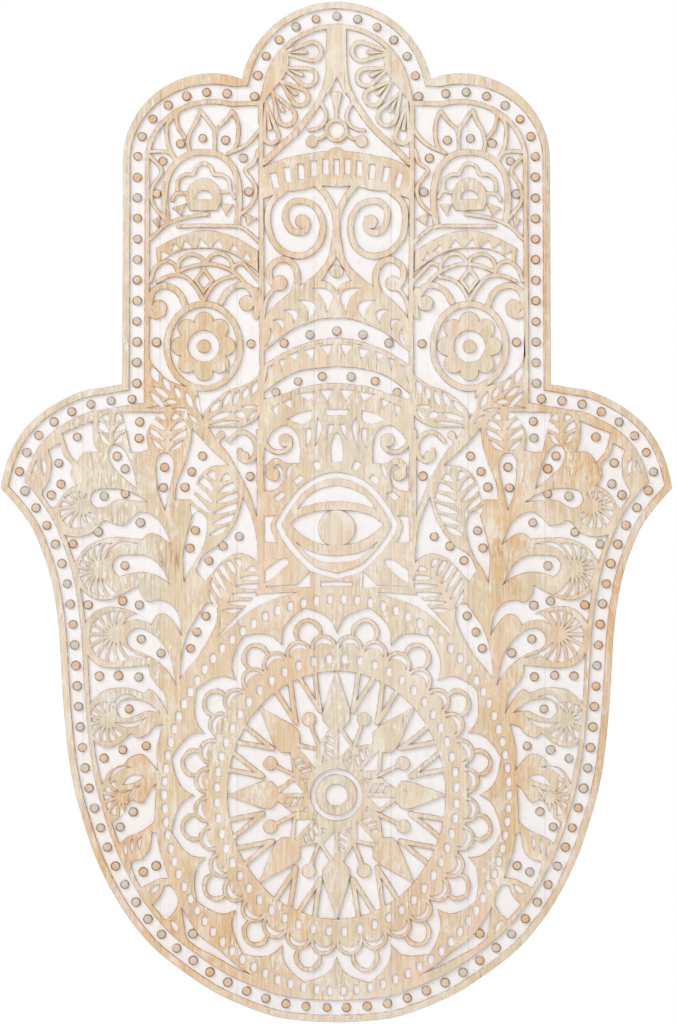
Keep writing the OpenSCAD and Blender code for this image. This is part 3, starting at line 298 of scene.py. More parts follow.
# Thumb and vine: bays of ground cut into the wood, each a closed line
VINE_BAYS = [
    [[62, 433, 1], [78, 427], [93, 421, 1], [93, 440], [98, 452, 1], [86, 452], [79, 458], [78, 464, 1],
     [68, 452]],
    [[48, 450, 1], [60, 443, 1], [64, 456], [72, 464, 1], [71, 476], [77, 486, 1], [66, 491], [56, 505],
     [52, 508, 1], [42, 494], [49, 480], [51, 462]],
    [[121, 412, 1], [161, 412, 1], [153, 421], [147, 434], [149, 450, 1], [140, 452], [130, 452, 1],
     [127, 436]],
    [[108, 456], [110, 447], [117, 445], [125, 452], [133, 470], [137.5, 489, 1], [124, 478], [113, 467]],
    [[90, 500], [94, 491], [104, 488.5], [120, 489], [135, 494], [148, 502, 1], [130, 500], [116, 500],
     [104, 507], [96, 507]],
    [[62, 534, 1], [76, 537], [92, 533], [104, 521], [113, 524], [124, 525], [133, 516], [143, 512],
     [155, 517], [164, 528], [171, 545, 1], [160, 536], [150, 533], [142, 539, 1], [118, 537], [100, 540],
     [86, 547], [76, 560], [72, 566, 1], [68, 548]],
    [[112, 566], [117, 557], [128, 555], [146, 556], [160, 566], [170, 585, 1], [160, 577], [145, 572],
     [130, 573], [118, 576]],
    [[80, 588, 1], [92, 598], [108, 600], [126, 592], [139, 585, 1], [141, 595], [149, 602], [158, 600],
     [170, 604], [179, 616], [182, 636, 1], [174, 622], [165, 614], [156, 616], [151, 625, 1], [138, 614],
     [122, 608], [106, 607], [94, 612], [84, 624, 1]],
    [[127, 641], [129, 633], [138, 628], [150, 632], [162, 643], [171, 660], [176.5, 686, 1], [169, 673],
     [157, 661], [143, 653], [131, 648]],
    [[86, 652, 1], [98, 665], [118, 668], [149, 665, 1], [150, 675], [156, 684], [164, 694],
     [168, 714, 1], [160, 700], [150, 689], [144, 693, 1], [128, 688], [108, 689], [96, 697], [88, 707, 1]],
    [[116, 709], [121, 701], [132, 699], [146, 702], [160, 713, 1], [146, 711], [132, 717], [121, 718]],
    [[92, 739, 1], [104, 747], [118, 744], [131, 733, 1], [138, 738], [148, 734], [154, 727],
     [163, 724, 1], [159, 740], [157, 752], [158, 771, 1], [151, 762], [142, 754], [130, 757], [124, 764],
     [110, 770], [102, 785, 1], [97, 762]],
    [[150, 790, 1], [156, 784, 1], [154, 822, 1], [142, 831], [126, 838], [120, 844, 1], [110, 826],
     [122, 815], [131, 800], [142, 803]],
    [[152, 832, 1], [157, 834, 1], [160, 852], [169, 878, 1], [158, 879], [146, 885], [140, 888, 1],
     [131, 864], [142, 859], [150, 848]],
    [[164, 886, 1], [171, 886], [178, 900], [174, 912], [165, 920, 1], [152, 905, 1], [160, 896]],
    [[181, 907, 1], [190, 922], [200, 936], [216, 948], [236, 961], [262, 974], [290, 982, 1], [262, 978],
     [236, 968], [214, 956], [198, 948], [186, 938, 1]]
]
COLUMN_BAYS = [
    [[156, 468], [158, 457], [165, 453], [172, 457], [174, 468], [170, 488], [165, 511, 1], [158, 490]],
    [[192, 428, 1], [200, 437], [214, 452], [229, 465, 1], [214, 466], [203, 472], [196, 484],
     [193, 500, 1], [175, 500, 1], [177, 483], [184, 466], [190, 446]],
    [[190, 524], [194, 513], [201, 512], [207, 521], [206, 538], [198, 558], [190, 570], [184, 583, 1],
     [183, 556], [186, 538]],
    [[243, 497, 1], [250, 512], [256, 534], [258, 563, 1], [250, 556], [239, 553], [226, 558], [214, 571],
     [205, 582, 1], [196, 571, 1], [203, 556], [216, 547], [228, 534], [238, 516]],
    [[201, 611], [208, 603], [216, 606], [217, 619], [210, 637], [199, 655], [189, 667], [180, 679, 1],
     [181, 658], [188, 632]],
    [[208, 427, 1], [256, 427, 1], [257, 517, 1], [250, 496], [242, 478], [229, 455], [217, 440]]
]
# Round knobs, curls and stalks left standing in the bays
KNOB_LINES = [
    [[218, 441], [221, 434]],
    [[229, 441], [236, 434], [244, 432], [252, 437], [256, 446], [254, 457], [247, 461], [240, 457],
     [240, 450]]
]
VINE_DOTS = [
    [139.5, 421.5], [139, 438], [77, 437], [58.5, 463], [61, 484], [51, 495], [117, 456], [125, 468.5],
    [104, 496], [125, 493.5], [73, 544], [98, 532], [140, 522.5], [125, 565.5], [88, 605], [122.5, 601],
    [139, 605], [141, 639], [161, 653], [99, 676], [118.4, 675.4], [138.7, 677], [129, 709], [146, 746],
    [104, 758.5], [122.5, 750], [133, 812], [120, 827], [143, 872], [156, 866], [193, 934], [164.7, 467],
    [163.4, 487.5], [202.3, 456], [192, 471.5], [185, 487], [250, 476], [195.5, 530.5], [190, 548],
    [239, 536.5], [223, 546], [209, 560.5], [206, 616], [197, 632], [190.5, 648.5]
]
# Fans of cuts round a hub: hub, middle and radius of the ring round it, first and last direction, and number
FANS = [
    [[83, 506], [77.4, 510], 18.5, 62, 335, 11], [[100.5, 569], [106, 569.5], 27, 62, 308, 11],
    [[117, 634], [115, 636.5], 26, 66, 318, 11], [[109.5, 720], [107, 721.5], 20, 66, 320, 10],
    [[124, 796], [121, 798], 19, 115, 310, 7]
]
# Ferns of paired cuts each side of a spine: foot, tip, half width and number of pairs
FERNS = [
    [[111, 446], [112, 409], 14.5, 3], [[167, 453], [169, 408], 19, 4], [[207, 537], [221, 466], 24, 6],
    [[219, 611], [249, 558], 24, 6]
]
VINE_MOONS = [
    [[35, 457], [29, 475], 1, -5], [[41, 458], [44, 476], 1, -4], [[104, 560], [139, 544], -10, -6],
    [[122, 625], [150, 624], -11, -5], [[125, 650], [149, 657], 4, 1], [[112, 708], [136, 697], -8, -4],
    [[114, 722], [146, 717], 8, 3], [[122, 785], [144, 777], -6, 2], [[108, 782], [132, 767], -8, -4],
    [[107, 791], [133, 789], 3, 1], [[128, 803], [141, 785], -5, -2], [[124, 842], [127, 857], 3, -1],
    [[132, 838], [132, 854], 2.5, -1], [[141, 836], [139, 850], 3, -1], [[148, 893], [160, 884], -2, 4],
    [[170, 920], [178, 933], 2, -4], [[146, 408], [172, 405], -1, 1]
]

# Wood left whole before the bays are cut: the lower field, and the stem of the middle finger's arch
LOWER_FIELD = [
    (-9, 396), (146, 396), (178, 409), (190, 424), (203, 429), (262, 429), (262, 400), (298, 390),
    (MIDDLE, 384), (337, 1030), (-9, 1030)
]
STEM = [(327, 24), (337, 24), (337, 75.5), (335.6, 78.5), (331.6, 87.5), (326.5, 95), (325.5, 84)]
# Round knobs, each with its radius: those of the first layer, and those left standing in the bays
KNOBS = [((159.5, 307.5), 7.6), ((247, 303), 7.6), ((311.5, 141), 6)]
BAY_KNOBS = [
    ((285, 440), 6.6), ((271.5, 474), 5.5), ((221, 435), 4), ((244, 456), 5), ((302.5, 221.5), 7),
    ((280, 283), 7.5)
]
MIDDLE_KNOB = ((MIDDLE, 271), 6.5)
RING_C = (MIDDLE, 130)
RING_R = 12
RING_HOLE_R = 8
ARCH_HOLE_C = (203.5, 199)
ARCH_HOLE_R = 9
MIDDLE_SLOT = (MIDDLE, 167)
# The rosette: its petals by how far out their heads lie and their radius, and the rings in its heart
ROSETTE_PETALS = 8
ROSETTE_HEADS = (22.5, 25)
ROSETTE_HEAD_R = 9.4
ROSETTE_DISC_R = 24
ROSETTE_WELL_R = 15.8
ROSETTE_CORE_R = 6.6

# Medallion
MEDALLION_C = [MIDDLE, 795]
MEDALLION_FLAT = 0.88
DISC_R = 11
DISC_RING_R = 20.5
DISC_GROUND_R = 26
HUB_RING_R = 33
SPEAR_BASE_R = 68
SPEAR_WIDE_R = 75
SPEAR_HALF = 13.5
STAR_R = 124
INNER_SLOTS_R = 136.5
FINGER_R = 148
FINGER_HEAD_R = 8
PETAL_FOOT_R = 141
PETAL_TIP_R = 191
OUTER_SLOTS_R = 196
MEDALLION_R = 204
# Left halves of the bud over the middle finger's ring and of the cap below it, from the middle line out
BUD = [(MIDDLE, 91.2), (331.2, 92.8), (332.4, 101), (334.6, 109), (335.2, 120)]
ARCH_CAP = [(MIDDLE, 147), (332, 148.2), (328.2, 152.5), (328.2, 159)]
# Leaves and the V lines between the spears, and the round pins on their stalks
LEAF_R = 50
LEAF_HALF = 17.5
V_FOOT_R = 86
V_FOOT_A = 10
V_OUTER_A = 11
V_INNER_A = 2.5
PIN_STALK_R = 81
PIN_C_R = 82
PIN_R = 6.8
# Arches in the lotus petals, spokes of a fan, and a fern's ribs and spine
ARCH_HALF = 13.8
ARCH_BELOW_TIP = 11
SPOKE_W = 3.3
SPOKE_CURL = 0.5
RIB_W = 3.5
RIB_RISE = 0.42
SPINE_HALF = 2.4
FERN_FILL = 0.92


# Lines on the pattern, worked out in millimetres on the panel: x to the right, z up
def mm(p):
    return Vector(((p[0] - MIDDLE) * GRID, (BATTEN_ROW - p[1]) * GRID))


def smooth(points, closed=False, steps=4):
    """A smooth line through points. A third value of 1 makes a point a sharp corner."""
    n = len(points)

    def pick(i):
        return points[i % n] if closed else points[max(0, min(n - 1, i))]

    def slope(a, b, c):
        return Vector((0, 0)) if len(b) > 2 else (mm(c) - mm(a)) / 2

    out = []
    for i in range(n if closed else n - 1):
        a, b, c, d = pick(i - 1), pick(i), pick(i + 1), pick(i + 2)
        u, v = slope(a, b, c), slope(b, c, d)
        for j in range(steps):
            t = j / steps
            out.append(
                mm(b) * (2 * t**3 - 3 * t * t + 1)
                + u * (t**3 - 2 * t * t + t)
                + mm(c) * (3 * t * t - 2 * t**3)
                + v * (t**3 - t * t)
            )
    if not closed:
        out.append(mm(points[-1]))
    return out


def left_of(v):
    return Vector((-v.y, v.x)).normalized()


def beside(path, d):
    """The open path moved sideways by d, to its left."""
    last = len(path) - 1
    return [p + d * left_of(path[min(i + 1, last)] - path[max(i - 1, 0)]) for i, p in enumerate(path)]


def grown(loop, d):
    """A closed anticlockwise loop moved outwards by d, with its corners kept sharp."""
    out = []
    for i, p in enumerate(loop):
        a = left_of(p - loop[i - 1])
        b = left_of(loop[(i + 1) % len(loop)] - p)
        out.append(p - d * (a + b) / max(1 + a.dot(b), 0.7))
    return out


def area(loop):
    return sum(p.cross(loop[(i + 1) % len(loop)]) for i, p in enumerate(loop)) / 2


def tidy_loop(loop):
    """Without doubled points, and anticlockwise."""
    kept = [p for i, p in enumerate(loop) if (p - loop[i - 1]).length > 0.02]
    return kept if area(kept) > 0 else kept[::-1]


def run(path):
    """The length along a path at each of its points."""
    s = [0.0]
    for a, b in zip(path, path[1:]):
        s.append(s[-1] + (b - a).length)
    return s


def point_along(path, s, d):
    """The point at a length d along a path whose points lie at the lengths s."""
    for i in range(1, len(path)):
        if s[i] >= d or i == len(path) - 1:
            return path[i - 1].lerp(path[i], (d - s[i - 1]) / max(s[i] - s[i - 1], 0.01))


def spaced(path, pitch):
    """Points at even steps along a path, half a step in from its ends."""
    s = run(path)
    n = max(1, round(s[-1] / pitch))
    return [point_along(path, s, (i + 0.5) * s[-1] / n) for i in range(n)]


def arc(centre, rx, ry, start, stop, n):
    """Points of an arc in squares, with angles in degrees from the right, anticlockwise as seen."""
    out = []
    for i in range(n + 1):
        a = math.radians(start + (stop - start) * i / n)
        out.append(mm((centre[0] + rx * math.cos(a), centre[1] - ry * math.sin(a))))
    return out


def circle(centre, r, n=28):
    """A round loop about a place on the pattern, with its radius in squares."""
    return arc(centre, r, r, 0, 360 * (n - 1) / n, n - 1)


def strokes(points, width):
    """A carved line of even width with round ends, as one loop for each run between sharp turns."""
    path = smooth(points)
    path = [p for i, p in enumerate(path) if i == 0 or (p - path[i - 1]).length > 0.02]
    turns = [0]
    for i in range(1, len(path) - 1):
        if (path[i] - path[i - 1]).angle(path[i + 1] - path[i]) > 0.7:
            turns.append(i)
    turns.append(len(path) - 1)
    return [even_band(path[i:j + 1], width) for i, j in zip(turns, turns[1:])]


def even_band(path, width):
    """The loop round a path, with a half-round at each end."""
    ends = []
    for here, away in ((path[-1], path[-1] - path[-2]), (path[0], path[0] - path[1])):
        a = math.atan2(away.y, away.x)
        turns = [a + t for t in (-1, -0.5, 0, 0.5, 1)]
        ends.append([here + width / 2 * Vector((math.cos(t), math.sin(t))) for t in turns])
    return beside(path, -width / 2) + ends[0] + beside(path, width / 2)[::-1] + ends[1]


def blob(points):
    """A closed smooth shape."""
    return smooth(points, closed=True)


def moon(m):
    """The shape between two arcs with common tips; each bows by its own number of squares."""
    a, b = mm(m[0]), mm(m[1])
    right = -GRID * left_of(b - a)
    steps = [i / 8 for i in range(9)]
    out = [a.lerp(b, t) + right * m[2] * 4 * t * (1 - t) for t in steps]
    return out + [a.lerp(b, t) + right * m[3] * 4 * t * (1 - t) for t in steps[-2:0:-1]]


def drop(tip, head, r, n=12):
    """A teardrop from a point to a round head."""
    tip, head = Vector(tip), Vector(head)
    a = math.atan2(head.y - tip.y, head.x - tip.x)
    s = math.pi / 2 + math.asin(min(0.99, r / max((head - tip).length, r)))
    out = [tip]
    for i in range(n + 1):
        t = a - s + 2 * s * i / n
        out.append(head + r * Vector((math.cos(t), math.sin(t))))
    return [mm(p) for p in out]


def fan(f):
    """Wedges cut round a hub and out to the ring about it, with curved spokes left between them."""
    hub, middle, radius, first, last, n = f
    off = Vector((middle[0] - hub[0], hub[1] - middle[1]))
    pitch = math.radians((last - first) / n)
    out = []
    for i in range(n):
        sides = ([], [])
        for j in range(8):
            for side, s in zip(sides, (0, 1)):
                a = math.radians(first) + pitch * (i + s)
                along = off.dot(Vector((math.cos(a), math.sin(a))))
                reach = along + math.sqrt(radius**2 - off.length_squared + along**2)
                r = reach * j / 7 + SPOKE_W / pitch * (1 - j / 7)
                t = a + SPOKE_CURL * math.sin(a) * (1 - r / reach) + (0.5 - s) * SPOKE_W / r
                side.append(mm((hub[0] + r * math.cos(t), hub[1] - r * math.sin(t))))
        out.append(sides[0] + sides[1][:0:-1])
    return out


def fern(f):
    """Cuts paired along a spine and out to the leaf's edge, with thin ribs left between them that rise."""
    foot, tip, half, n = Vector(f[0]), Vector(f[1]), f[2], f[3]
    long = (tip - foot).length
    u = (tip - foot) / long
    out = []
    for side in (-1, 1):
        v = side * Vector((-u.y, u.x))
        for i in range(n):
            low = long * FERN_FILL * i / n + RIB_W / 2
            high = long * FERN_FILL * (i + 1) / n - RIB_W / 2
            edges = ([], [])
            for j in range(6):
                for edge, s in zip(edges, (low, high)):
                    wide = half * math.sin(math.pi * (0.2 + 0.78 * s / long)) - SPINE_HALF
                    rise = RIB_RISE * wide * (j / 5) ** 1.6
                    near = low + (s - low) * min(1, 0.25 + j / 3)
                    edge.append(mm(foot + (near + rise) * u + (SPINE_HALF + wide * j / 5) * v))
            out.append(edges[0] + edges[1][::-1])
    return out


# The hand's outline and the lines that follow it
def moved_in(path, d):
    """An open path moved d to its left, with its corners kept sharp."""
    last = len(path) - 1
    out = []
    for i, p in enumerate(path):
        a = left_of(path[max(i, 1)] - path[max(i, 1) - 1])
        b = left_of(path[min(i + 1, last)] - path[min(i + 1, last) - 1])
        out.append(p + d * (a + b) / max(1 + a.dot(b), 0.5))
    return out


def meeting(first, second):
    """Where two paths cross: the number of the segment on each, and the point."""
    for i in range(len(first) - 1, 0, -1):
        for j in range(1, len(second)):
            p, q = first[i - 1], second[j - 1]
            u, v = first[i] - p, second[j] - q
            across = u.cross(v)
            if abs(across) > 1e-9:
                s, t = (q - p).cross(v) / across, (q - p).cross(u) / across
                if 0 <= s <= 1 and 0 <= t <= 1:
                    return i, j, p + s * u


def hand(d=0):
    """The closed outline of the hand, drawn in by d."""
    drop_by = SIDE_DROP if d else 0
    upper = arc(TIP_C, TIP_R, TIP_R, 90, NOTCH_A - 6, 40) + [mm(NOTCH)]
    upper += arc(SIDE_C, SIDE_RX, SIDE_RY - drop_by, SIDE_A + 6, 180, 40) + smooth(THUMB_LINE)
    lower = smooth(WRIST_LINE)
    if d:
        upper, lower = moved_in(upper, d), moved_in(lower, d)
        i, j, tip = meeting(upper, lower)
        half = upper[:i] + [tip] + lower[j:]
    else:
        half = upper + lower[1:]
    half = [Vector((0, half[0].y))] + [p for p in half[1:-1] if p.x < -0.02] + [Vector((0, half[-1].y))]
    return half + [Vector((-p.x, p.y)) for p in half[-2:0:-1]]


def mirrored(loops):
    """The left half's loops and their mirror images. What ends on the middle line runs a little over it."""
    left = [[Vector((0.5, p.y)) if abs(p.x) < 0.35 else p for p in loop] for loop in loops]
    return left + [[Vector((-p.x, p.y)) for p in loop[::-1]] for loop in left]


def bead_places():
    """Beads along the middle of the channel, and those set in the carving."""
    inner = RIM_W + CHANNEL_W / 2
    near = inner / GRID
    tip = arc(TIP_C, TIP_R - near, TIP_R - near, 90, 178.7, 24)
    n = round(run(tip)[-1] / BEAD_PITCH)
    left = [point_along(tip, run(tip), i * run(tip)[-1] / n) for i in range(1, n + 1)]
    side = arc(SIDE_C, SIDE_RX - near, SIDE_RY - SIDE_DROP - near, SIDE_A, 180, 20)
    side += [mm((THUMB_LINE[0][0] + near, THUMB_LINE[0][1] + near))]
    side += beside(smooth(THUMB_LINE[:-1], steps=2), inner)[1:]
    side += beside(smooth(WRIST_LINE[1:], steps=2), inner)
    left += spaced(side, BEAD_PITCH) + [mm(d) for d in MIDDLE_DOTS + SIDE_DOTS + VINE_DOTS]
    middle = [mm((MIDDLE, TIP_C[1] - TIP_R + near)), mm((MIDDLE, 331))]
    return left + middle + [Vector((-b.x, b.y)) for b in left]


# Carving: each layer of loops is raised from the ground or cut down to it
RAISED = [(GROUND + SUNK, 0.4), (TOP + WORN_EDGE, 0.05), (TOP, 0.05 - WORN_EDGE)]
CUT = [(GROUND + 2 * SUNK, -0.25), (TOP + WORN_EDGE, 0.0), (TOP, WORN_EDGE), (TOP - WORN_EDGE, 2 * WORN_EDGE)]
FINE = [(TOP + FINE_DEPTH, -0.1), (TOP + FINE_EDGE, 0.0), (TOP, FINE_EDGE), (TOP - FINE_EDGE, 2 * FINE_EDGE)]
HOLLOW = [(GROUND, -0.25), *CUT[1:]]
BEAD = [(GROUND + SUNK, 0.25), (GROUND - 1.15, -0.05), (GROUND - 1.63, -0.35), (GROUND - 1.83, -0.8)]


def wobbled(p):
    """A place on the pattern, off by a hair as the knife was."""
    at = Vector((p.x / 14, p.y / 14, 3.7))
    return p + WOBBLE * Vector((noise.noise(at), noise.noise(at + Vector((31, 17, 5)))))


def prism(name, loop, levels):
    """A loop drawn through levels: each is a depth and how far the loop has grown there."""
    loop = tidy_loop(loop)
    bm = bmesh.new()
    rings = [grown(loop, d) for y, d in levels]
    verts = [bm.verts.new((p.x, levels[0][0], p.y)) for p in rings[0]]
    face = bm.faces.new(verts)
    for (y, d), ring in zip(levels[1:], rings[1:]):
        order = {v.co.to_tuple(): i for i, v in enumerate(verts)}
        first = ring is rings[1]
        made = bmesh.ops.extrude_face_region(bm, geom=[face, *face.edges], use_keep_orig=first)
        face = next(g for g in made["geom"] if isinstance(g, bmesh.types.BMFace))
        fresh = {order[v.co.to_tuple()]: v for v in face.verts}
        verts = [fresh[i] for i in range(len(ring))]
        for v, p in zip(verts, ring):
            v.co = (p.x, y, p.y)
    bmesh.ops.recalc_face_normals(bm, faces=bm.faces)
    return finished(name, bm)


def finished(name, bm):
    """A mesh object from a bmesh in millimetres."""
    bmesh.ops.scale(bm, vec=(0.001, 0.001, 0.001), verts=bm.verts)
    return from_bmesh(name, bm)


def from_bmesh(name, bm):
    mesh = bpy.data.meshes.new(name)
    bm.to_mesh(mesh)
    bm.free()
    return put_out(name, mesh)


def put_out(name, data):
    """A mesh, curve, lamp or camera as an object in the scene."""
    piece = bpy.data.objects.new(name, data)
    bpy.context.scene.collection.objects.link(piece)
    return piece


def worked_out(piece):
    """The mesh of a piece once its modifiers or its curve are worked out."""
    seen = bpy.context.evaluated_depsgraph_get()
    return bpy.data.meshes.new_from_object(piece.evaluated_get(seen))


def combine(piece, tools, operation):
    """The piece joined with, cut by or kept inside the tools, which are used up."""
    tray = bpy.data.collections.new("tray")
    bpy.context.scene.collection.children.link(tray)
    for tool in tools:
        bpy.context.scene.collection.objects.unlink(tool)
        tray.objects.link(tool)
    step = piece.modifiers.new("carve", "BOOLEAN")
    step.operation = operation
    step.solver = "MANIFOLD"
    step.operand_type = "COLLECTION"
    step.collection = tray
    made = worked_out(piece)
    piece.modifiers.clear()
    piece.data = made
    for tool in tools:
        bpy.data.meshes.remove(tool.data)
    bpy.data.collections.remove(tray)
    return piece


def raise_up(piece, loops, levels=RAISED):
    """Loops added to a piece as standing wood. With no piece, the last loop starts one."""
    tools = [prism("raised", [wobbled(p) for p in loop], levels) for loop in loops]
    if piece is None:
        piece = tools.pop()
    return combine(piece, tools, "UNION") if tools else piece


def cut_down(piece, loops, levels=CUT):
    """Loops cut out of a piece."""
    return combine(piece, [prism("cut", [wobbled(p) for p in loop], levels) for loop in loops], "DIFFERENCE")


# Medallion: a place by its radius in squares and its angle from the top
def polar(r, a):
    a = math.radians(a)
    return (MEDALLION_C[0] + r * MEDALLION_FLAT * math.sin(a), MEDALLION_C[1] - r * math.cos(a))


def ring_of(r, n=160):
    return [mm(polar(r, -360 * i / n)) for i in range(n)]


def crescent(centre, out_a, r0, r1, n=14):
    """A moon cut over the outer half of a round head; out_a points away from the medallion, in degrees."""
    c = mm(centre)
    out = []
    for inner in (0, 1):
        for i in range(n + 1):
            t = -1 + 2 * (n - i if inner else i) / n
            r = r1 - (r1 - r0) * (1 - t * t) if inner else r1
            a = math.radians(out_a + 100 * t)
            out.append(c + r * GRID * Vector((math.sin(a), math.cos(a))))
    return out[:n + 1] + out[n + 2:-1]


def slots_round(r, pitch):
    """Round-ended upright slots spaced round the medallion."""
    out = []
    c = SLOT_W / 2
    turns = [math.radians(a) for a in range(180, -1, -30)]
    half = [Vector((c * math.cos(a), SLOT_L / 2 - c + c * math.sin(a))) for a in turns]
    for p in spaced([mm(polar(r, 4 * i)) for i in range(91)], pitch):
        out.append([p + v for v in half] + [p - v for v in half])
    return out


def spear(a, shape):
    """A loop about one ray of the star, from (radius, sideways) pairs in squares."""
    across = Vector((math.cos(math.radians(a)), math.sin(math.radians(a))))
    return [mm(Vector(polar(r, a)) + w * across) for r, w in shape]


def both_sides(shape):
    return [(r, -w) for r, w in shape] + [(r, w) for r, w in shape[::-1] if w]


def star_loops():
    """Spears, the leaves at their feet, the V lines between them and round pins, all from the hub."""
    step = 360 / SPEARS
    out = []
    for k in range(SPEARS):
        a = k * step
        base, wide = SPEAR_BASE_R, SPEAR_WIDE_R
        head = [(base - 3, 5), (base, 8), (wide - 1, SPEAR_HALF), (wide + 6, SPEAR_HALF + 0.5),
                (wide + 13, SPEAR_HALF - 1), (STAR_R + 1, 0)]
        out.append(spear(a, both_sides(head)))
        leaves = [(HUB_RING_R - 4, LEAF_HALF - 3), (LEAF_R, LEAF_HALF), (base + 1, 5)]
        out.append(spear(a, both_sides(leaves)))
        for s in (-1, 1):
            foot = polar(V_FOOT_R, a + s * (step / 2 - V_FOOT_A))
            for short in (V_OUTER_A, V_INNER_A):
                out += strokes([foot, polar(STAR_R + 2, a + s * (step / 2 - short))], LINE_W)
        out += strokes([polar(LEAF_R - 4, a + step / 2), polar(PIN_STALK_R, a + step / 2)], FINE_W)
        out.append(circle(polar(PIN_C_R, a + step / 2), PIN_R))
    return out + [circle(MEDALLION_C, HUB_RING_R, 60)]


def leaf_cuts():
    """Each leaf is split by its stem: one half cut clean, the other hatched."""
    out = []
    for k in range(SPEARS):
        a = k * 360 / SPEARS
        out.append(spear(a, [(35, 1.6), (48, 1.9), (66, 1.9), (49, LEAF_HALF - 3.5)]))
        for foot, reach in ((37, 11.5), (44, 12), (51.5, 9)):
            out.append(spear(a, [(foot, -2.2), (foot + 4.5, -2.2), (foot + 3.5 + reach * 0.5, -reach),
                                 (foot + reach * 0.45, -reach)]))
        out.append(spear(a + 180 / SPEARS, [(36.5, -2.8), (36.5, 2.8), (42, 0)]))
    return out


def lotus_petals():
    step = 360 / PETALS
    half = step / 2
    out = []
    for k in range(PETALS):
        a = (k + 0.5) * step
        side = [(PETAL_FOOT_R + 6, 0.95), (PETAL_TIP_R - 20, 0.88), (PETAL_TIP_R - 8, 0.5)]
        left = [polar(r, a - t * half) for r, t in side]
        right = [polar(r, a + t * half) for r, t in side[::-1]]
        out.append((a, half, blob(left + [polar(PETAL_TIP_R, a) + (1,)] + right)))
    return out


def arch(a, half_wide, tip_r):
    """A round-topped arch about one petal, from the heads outwards."""
    shape = [(FINGER_R + 2, half_wide * 0.55), (tip_r - 15, half_wide), (tip_r - 8, half_wide * 0.92),
             (tip_r - 2.5, half_wide * 0.55), (tip_r, 0)]
    across = Vector((math.cos(math.radians(a)), math.sin(math.radians(a))))
    return blob([tuple(Vector(polar(r, a)) + w * across) for r, w in both_sides(shape)])


def carve_medallion():
    """The lotus with its dotted rings, and the star of spears round the boss."""
    lotus = raise_up(None, [ring_of(MEDALLION_R)])
    petals = lotus_petals()
    arch_tip_r = PETAL_TIP_R - ARCH_BELOW_TIP
    cut_down(lotus, [ring_of(STAR_R + 4)] + [loop for a, half, loop in petals])
    arches = []
    openings = []
    heads = []
    cuts = slots_round(INNER_SLOTS_R, INNER_PITCH) + slots_round(OUTER_SLOTS_R, OUTER_PITCH)
    for a, half, loop in petals:
        arches.append(arch(a, ARCH_HALF, arch_tip_r))
        openings.append(arch(a, ARCH_HALF - FINE_W / GRID, arch_tip_r - FINE_W / GRID))
        for s in (-1, 1):
            centre = polar(FINGER_R, a + s * half / 2)
            heads.append(circle(centre, FINGER_HEAD_R + LINE_W / GRID + 0.6, 24))
            cuts.append(crescent(centre, a + s * half / 2, FINGER_HEAD_R - 3.2, FINGER_HEAD_R + 1.8))
    raise_up(lotus, arches)
    cut_down(lotus, openings)
    raise_up(lotus, heads + [ring_of(PETAL_FOOT_R + 8)])
    cut_down(lotus, cuts, FINE)
    cut_down(lotus, [ring_of(STAR_R)])
    star = raise_up(None, star_loops())
    cut_down(star, leaf_cuts(), FINE)
    cut_down(star, [circle(MEDALLION_C, DISC_GROUND_R, 60)])
    raise_up(star, [circle(MEDALLION_C, DISC_RING_R, 48)])
    cut_down(star, [circle(MEDALLION_C, DISC_R, 36)])
    return combine(lotus, [star], "UNION")


def carve_field():
    """The carved picture inside the ridge, layer by layer."""
    field = raise_up(None, standing_wood())
    slight = [blob(p) for p in FLAME_CUTS + [EYE_LID, EYE_UNDER]]
    slight += strokes(EYE_EDGE, BOLD_W) + strokes(EYE_EDGE_LOW, BOLD_W)
    cut_down(field, mirrored(slight), FINE)
    cut_down(field, bays_of_ground())
    raise_up(field, left_in_bays())
    cut_down(field, fine_cuts(), FINE)
    cut_down(field, mirrored([circle(ROSETTE_C, ROSETTE_WELL_R)]))
    raise_up(field, mirrored([circle(ROSETTE_C, ROSETTE_CORE_R)]))
    cut_down(field, [ring_of(MEDALLION_R - 2)])
    return combine(field, [carve_medallion()], "UNION")


def rosette_oval(grow):
    return arc(ROSETTE_C, ROSETTE_RX + grow / GRID, ROSETTE_RY + grow / GRID, 0, 354, 59)


def standing_wood():
    """The first layer: whole wood, lines, knobs, and the shapes that lie across the middle line."""
    up = [[mm(p) for p in LOWER_FIELD], [mm(p) for p in STEM], rosette_oval(BOLD_W / 2)]
    up += [blob(p) for p in MIDDLE_SOLIDS + SIDE_SOLIDS]
    for lines, width in (
        ([DIVIDER], RIDGE_W),
        (MIDDLE_BOLD + SIDE_BOLD, BOLD_W),
        (MIDDLE_LINES + SIDE_LINES, FINE_W),
    ):
        for line in lines:
            up += strokes(line, width)
    up += [drop(*p) for p in CORNER_PETALS]
    up += [circle(c, r) for c, r in KNOBS]
    whole = [circle(*MIDDLE_KNOB), circle(RING_C, RING_R)]
    for half in (BUD, ARCH_CAP):
        whole.append(blob(half + [(2 * MIDDLE - x, y) for x, y in half[:0:-1]]))
    return mirrored(up) + whole


def bays_of_ground():
    """The bays cut down to the ground, with the hollows of the corner petals, the rosette and the rings."""
    bays = [blob(p) for p in VINE_BAYS + COLUMN_BAYS + CURL_BAYS + [EYE_WHITE, GEM]]
    for foot, head, r in CORNER_PETALS:
        foot, head = Vector(foot), Vector(head)
        bays.append(drop(foot.lerp(head, 0.28), head, r - LINE_W / GRID))
    bays += [rosette_oval(-BOLD_W / 2), arc(ARCH_HOLE_C, ARCH_HOLE_R, ARCH_HOLE_R, 0, 180, 16)]
    return mirrored(bays) + [circle(RING_C, RING_HOLE_R)]


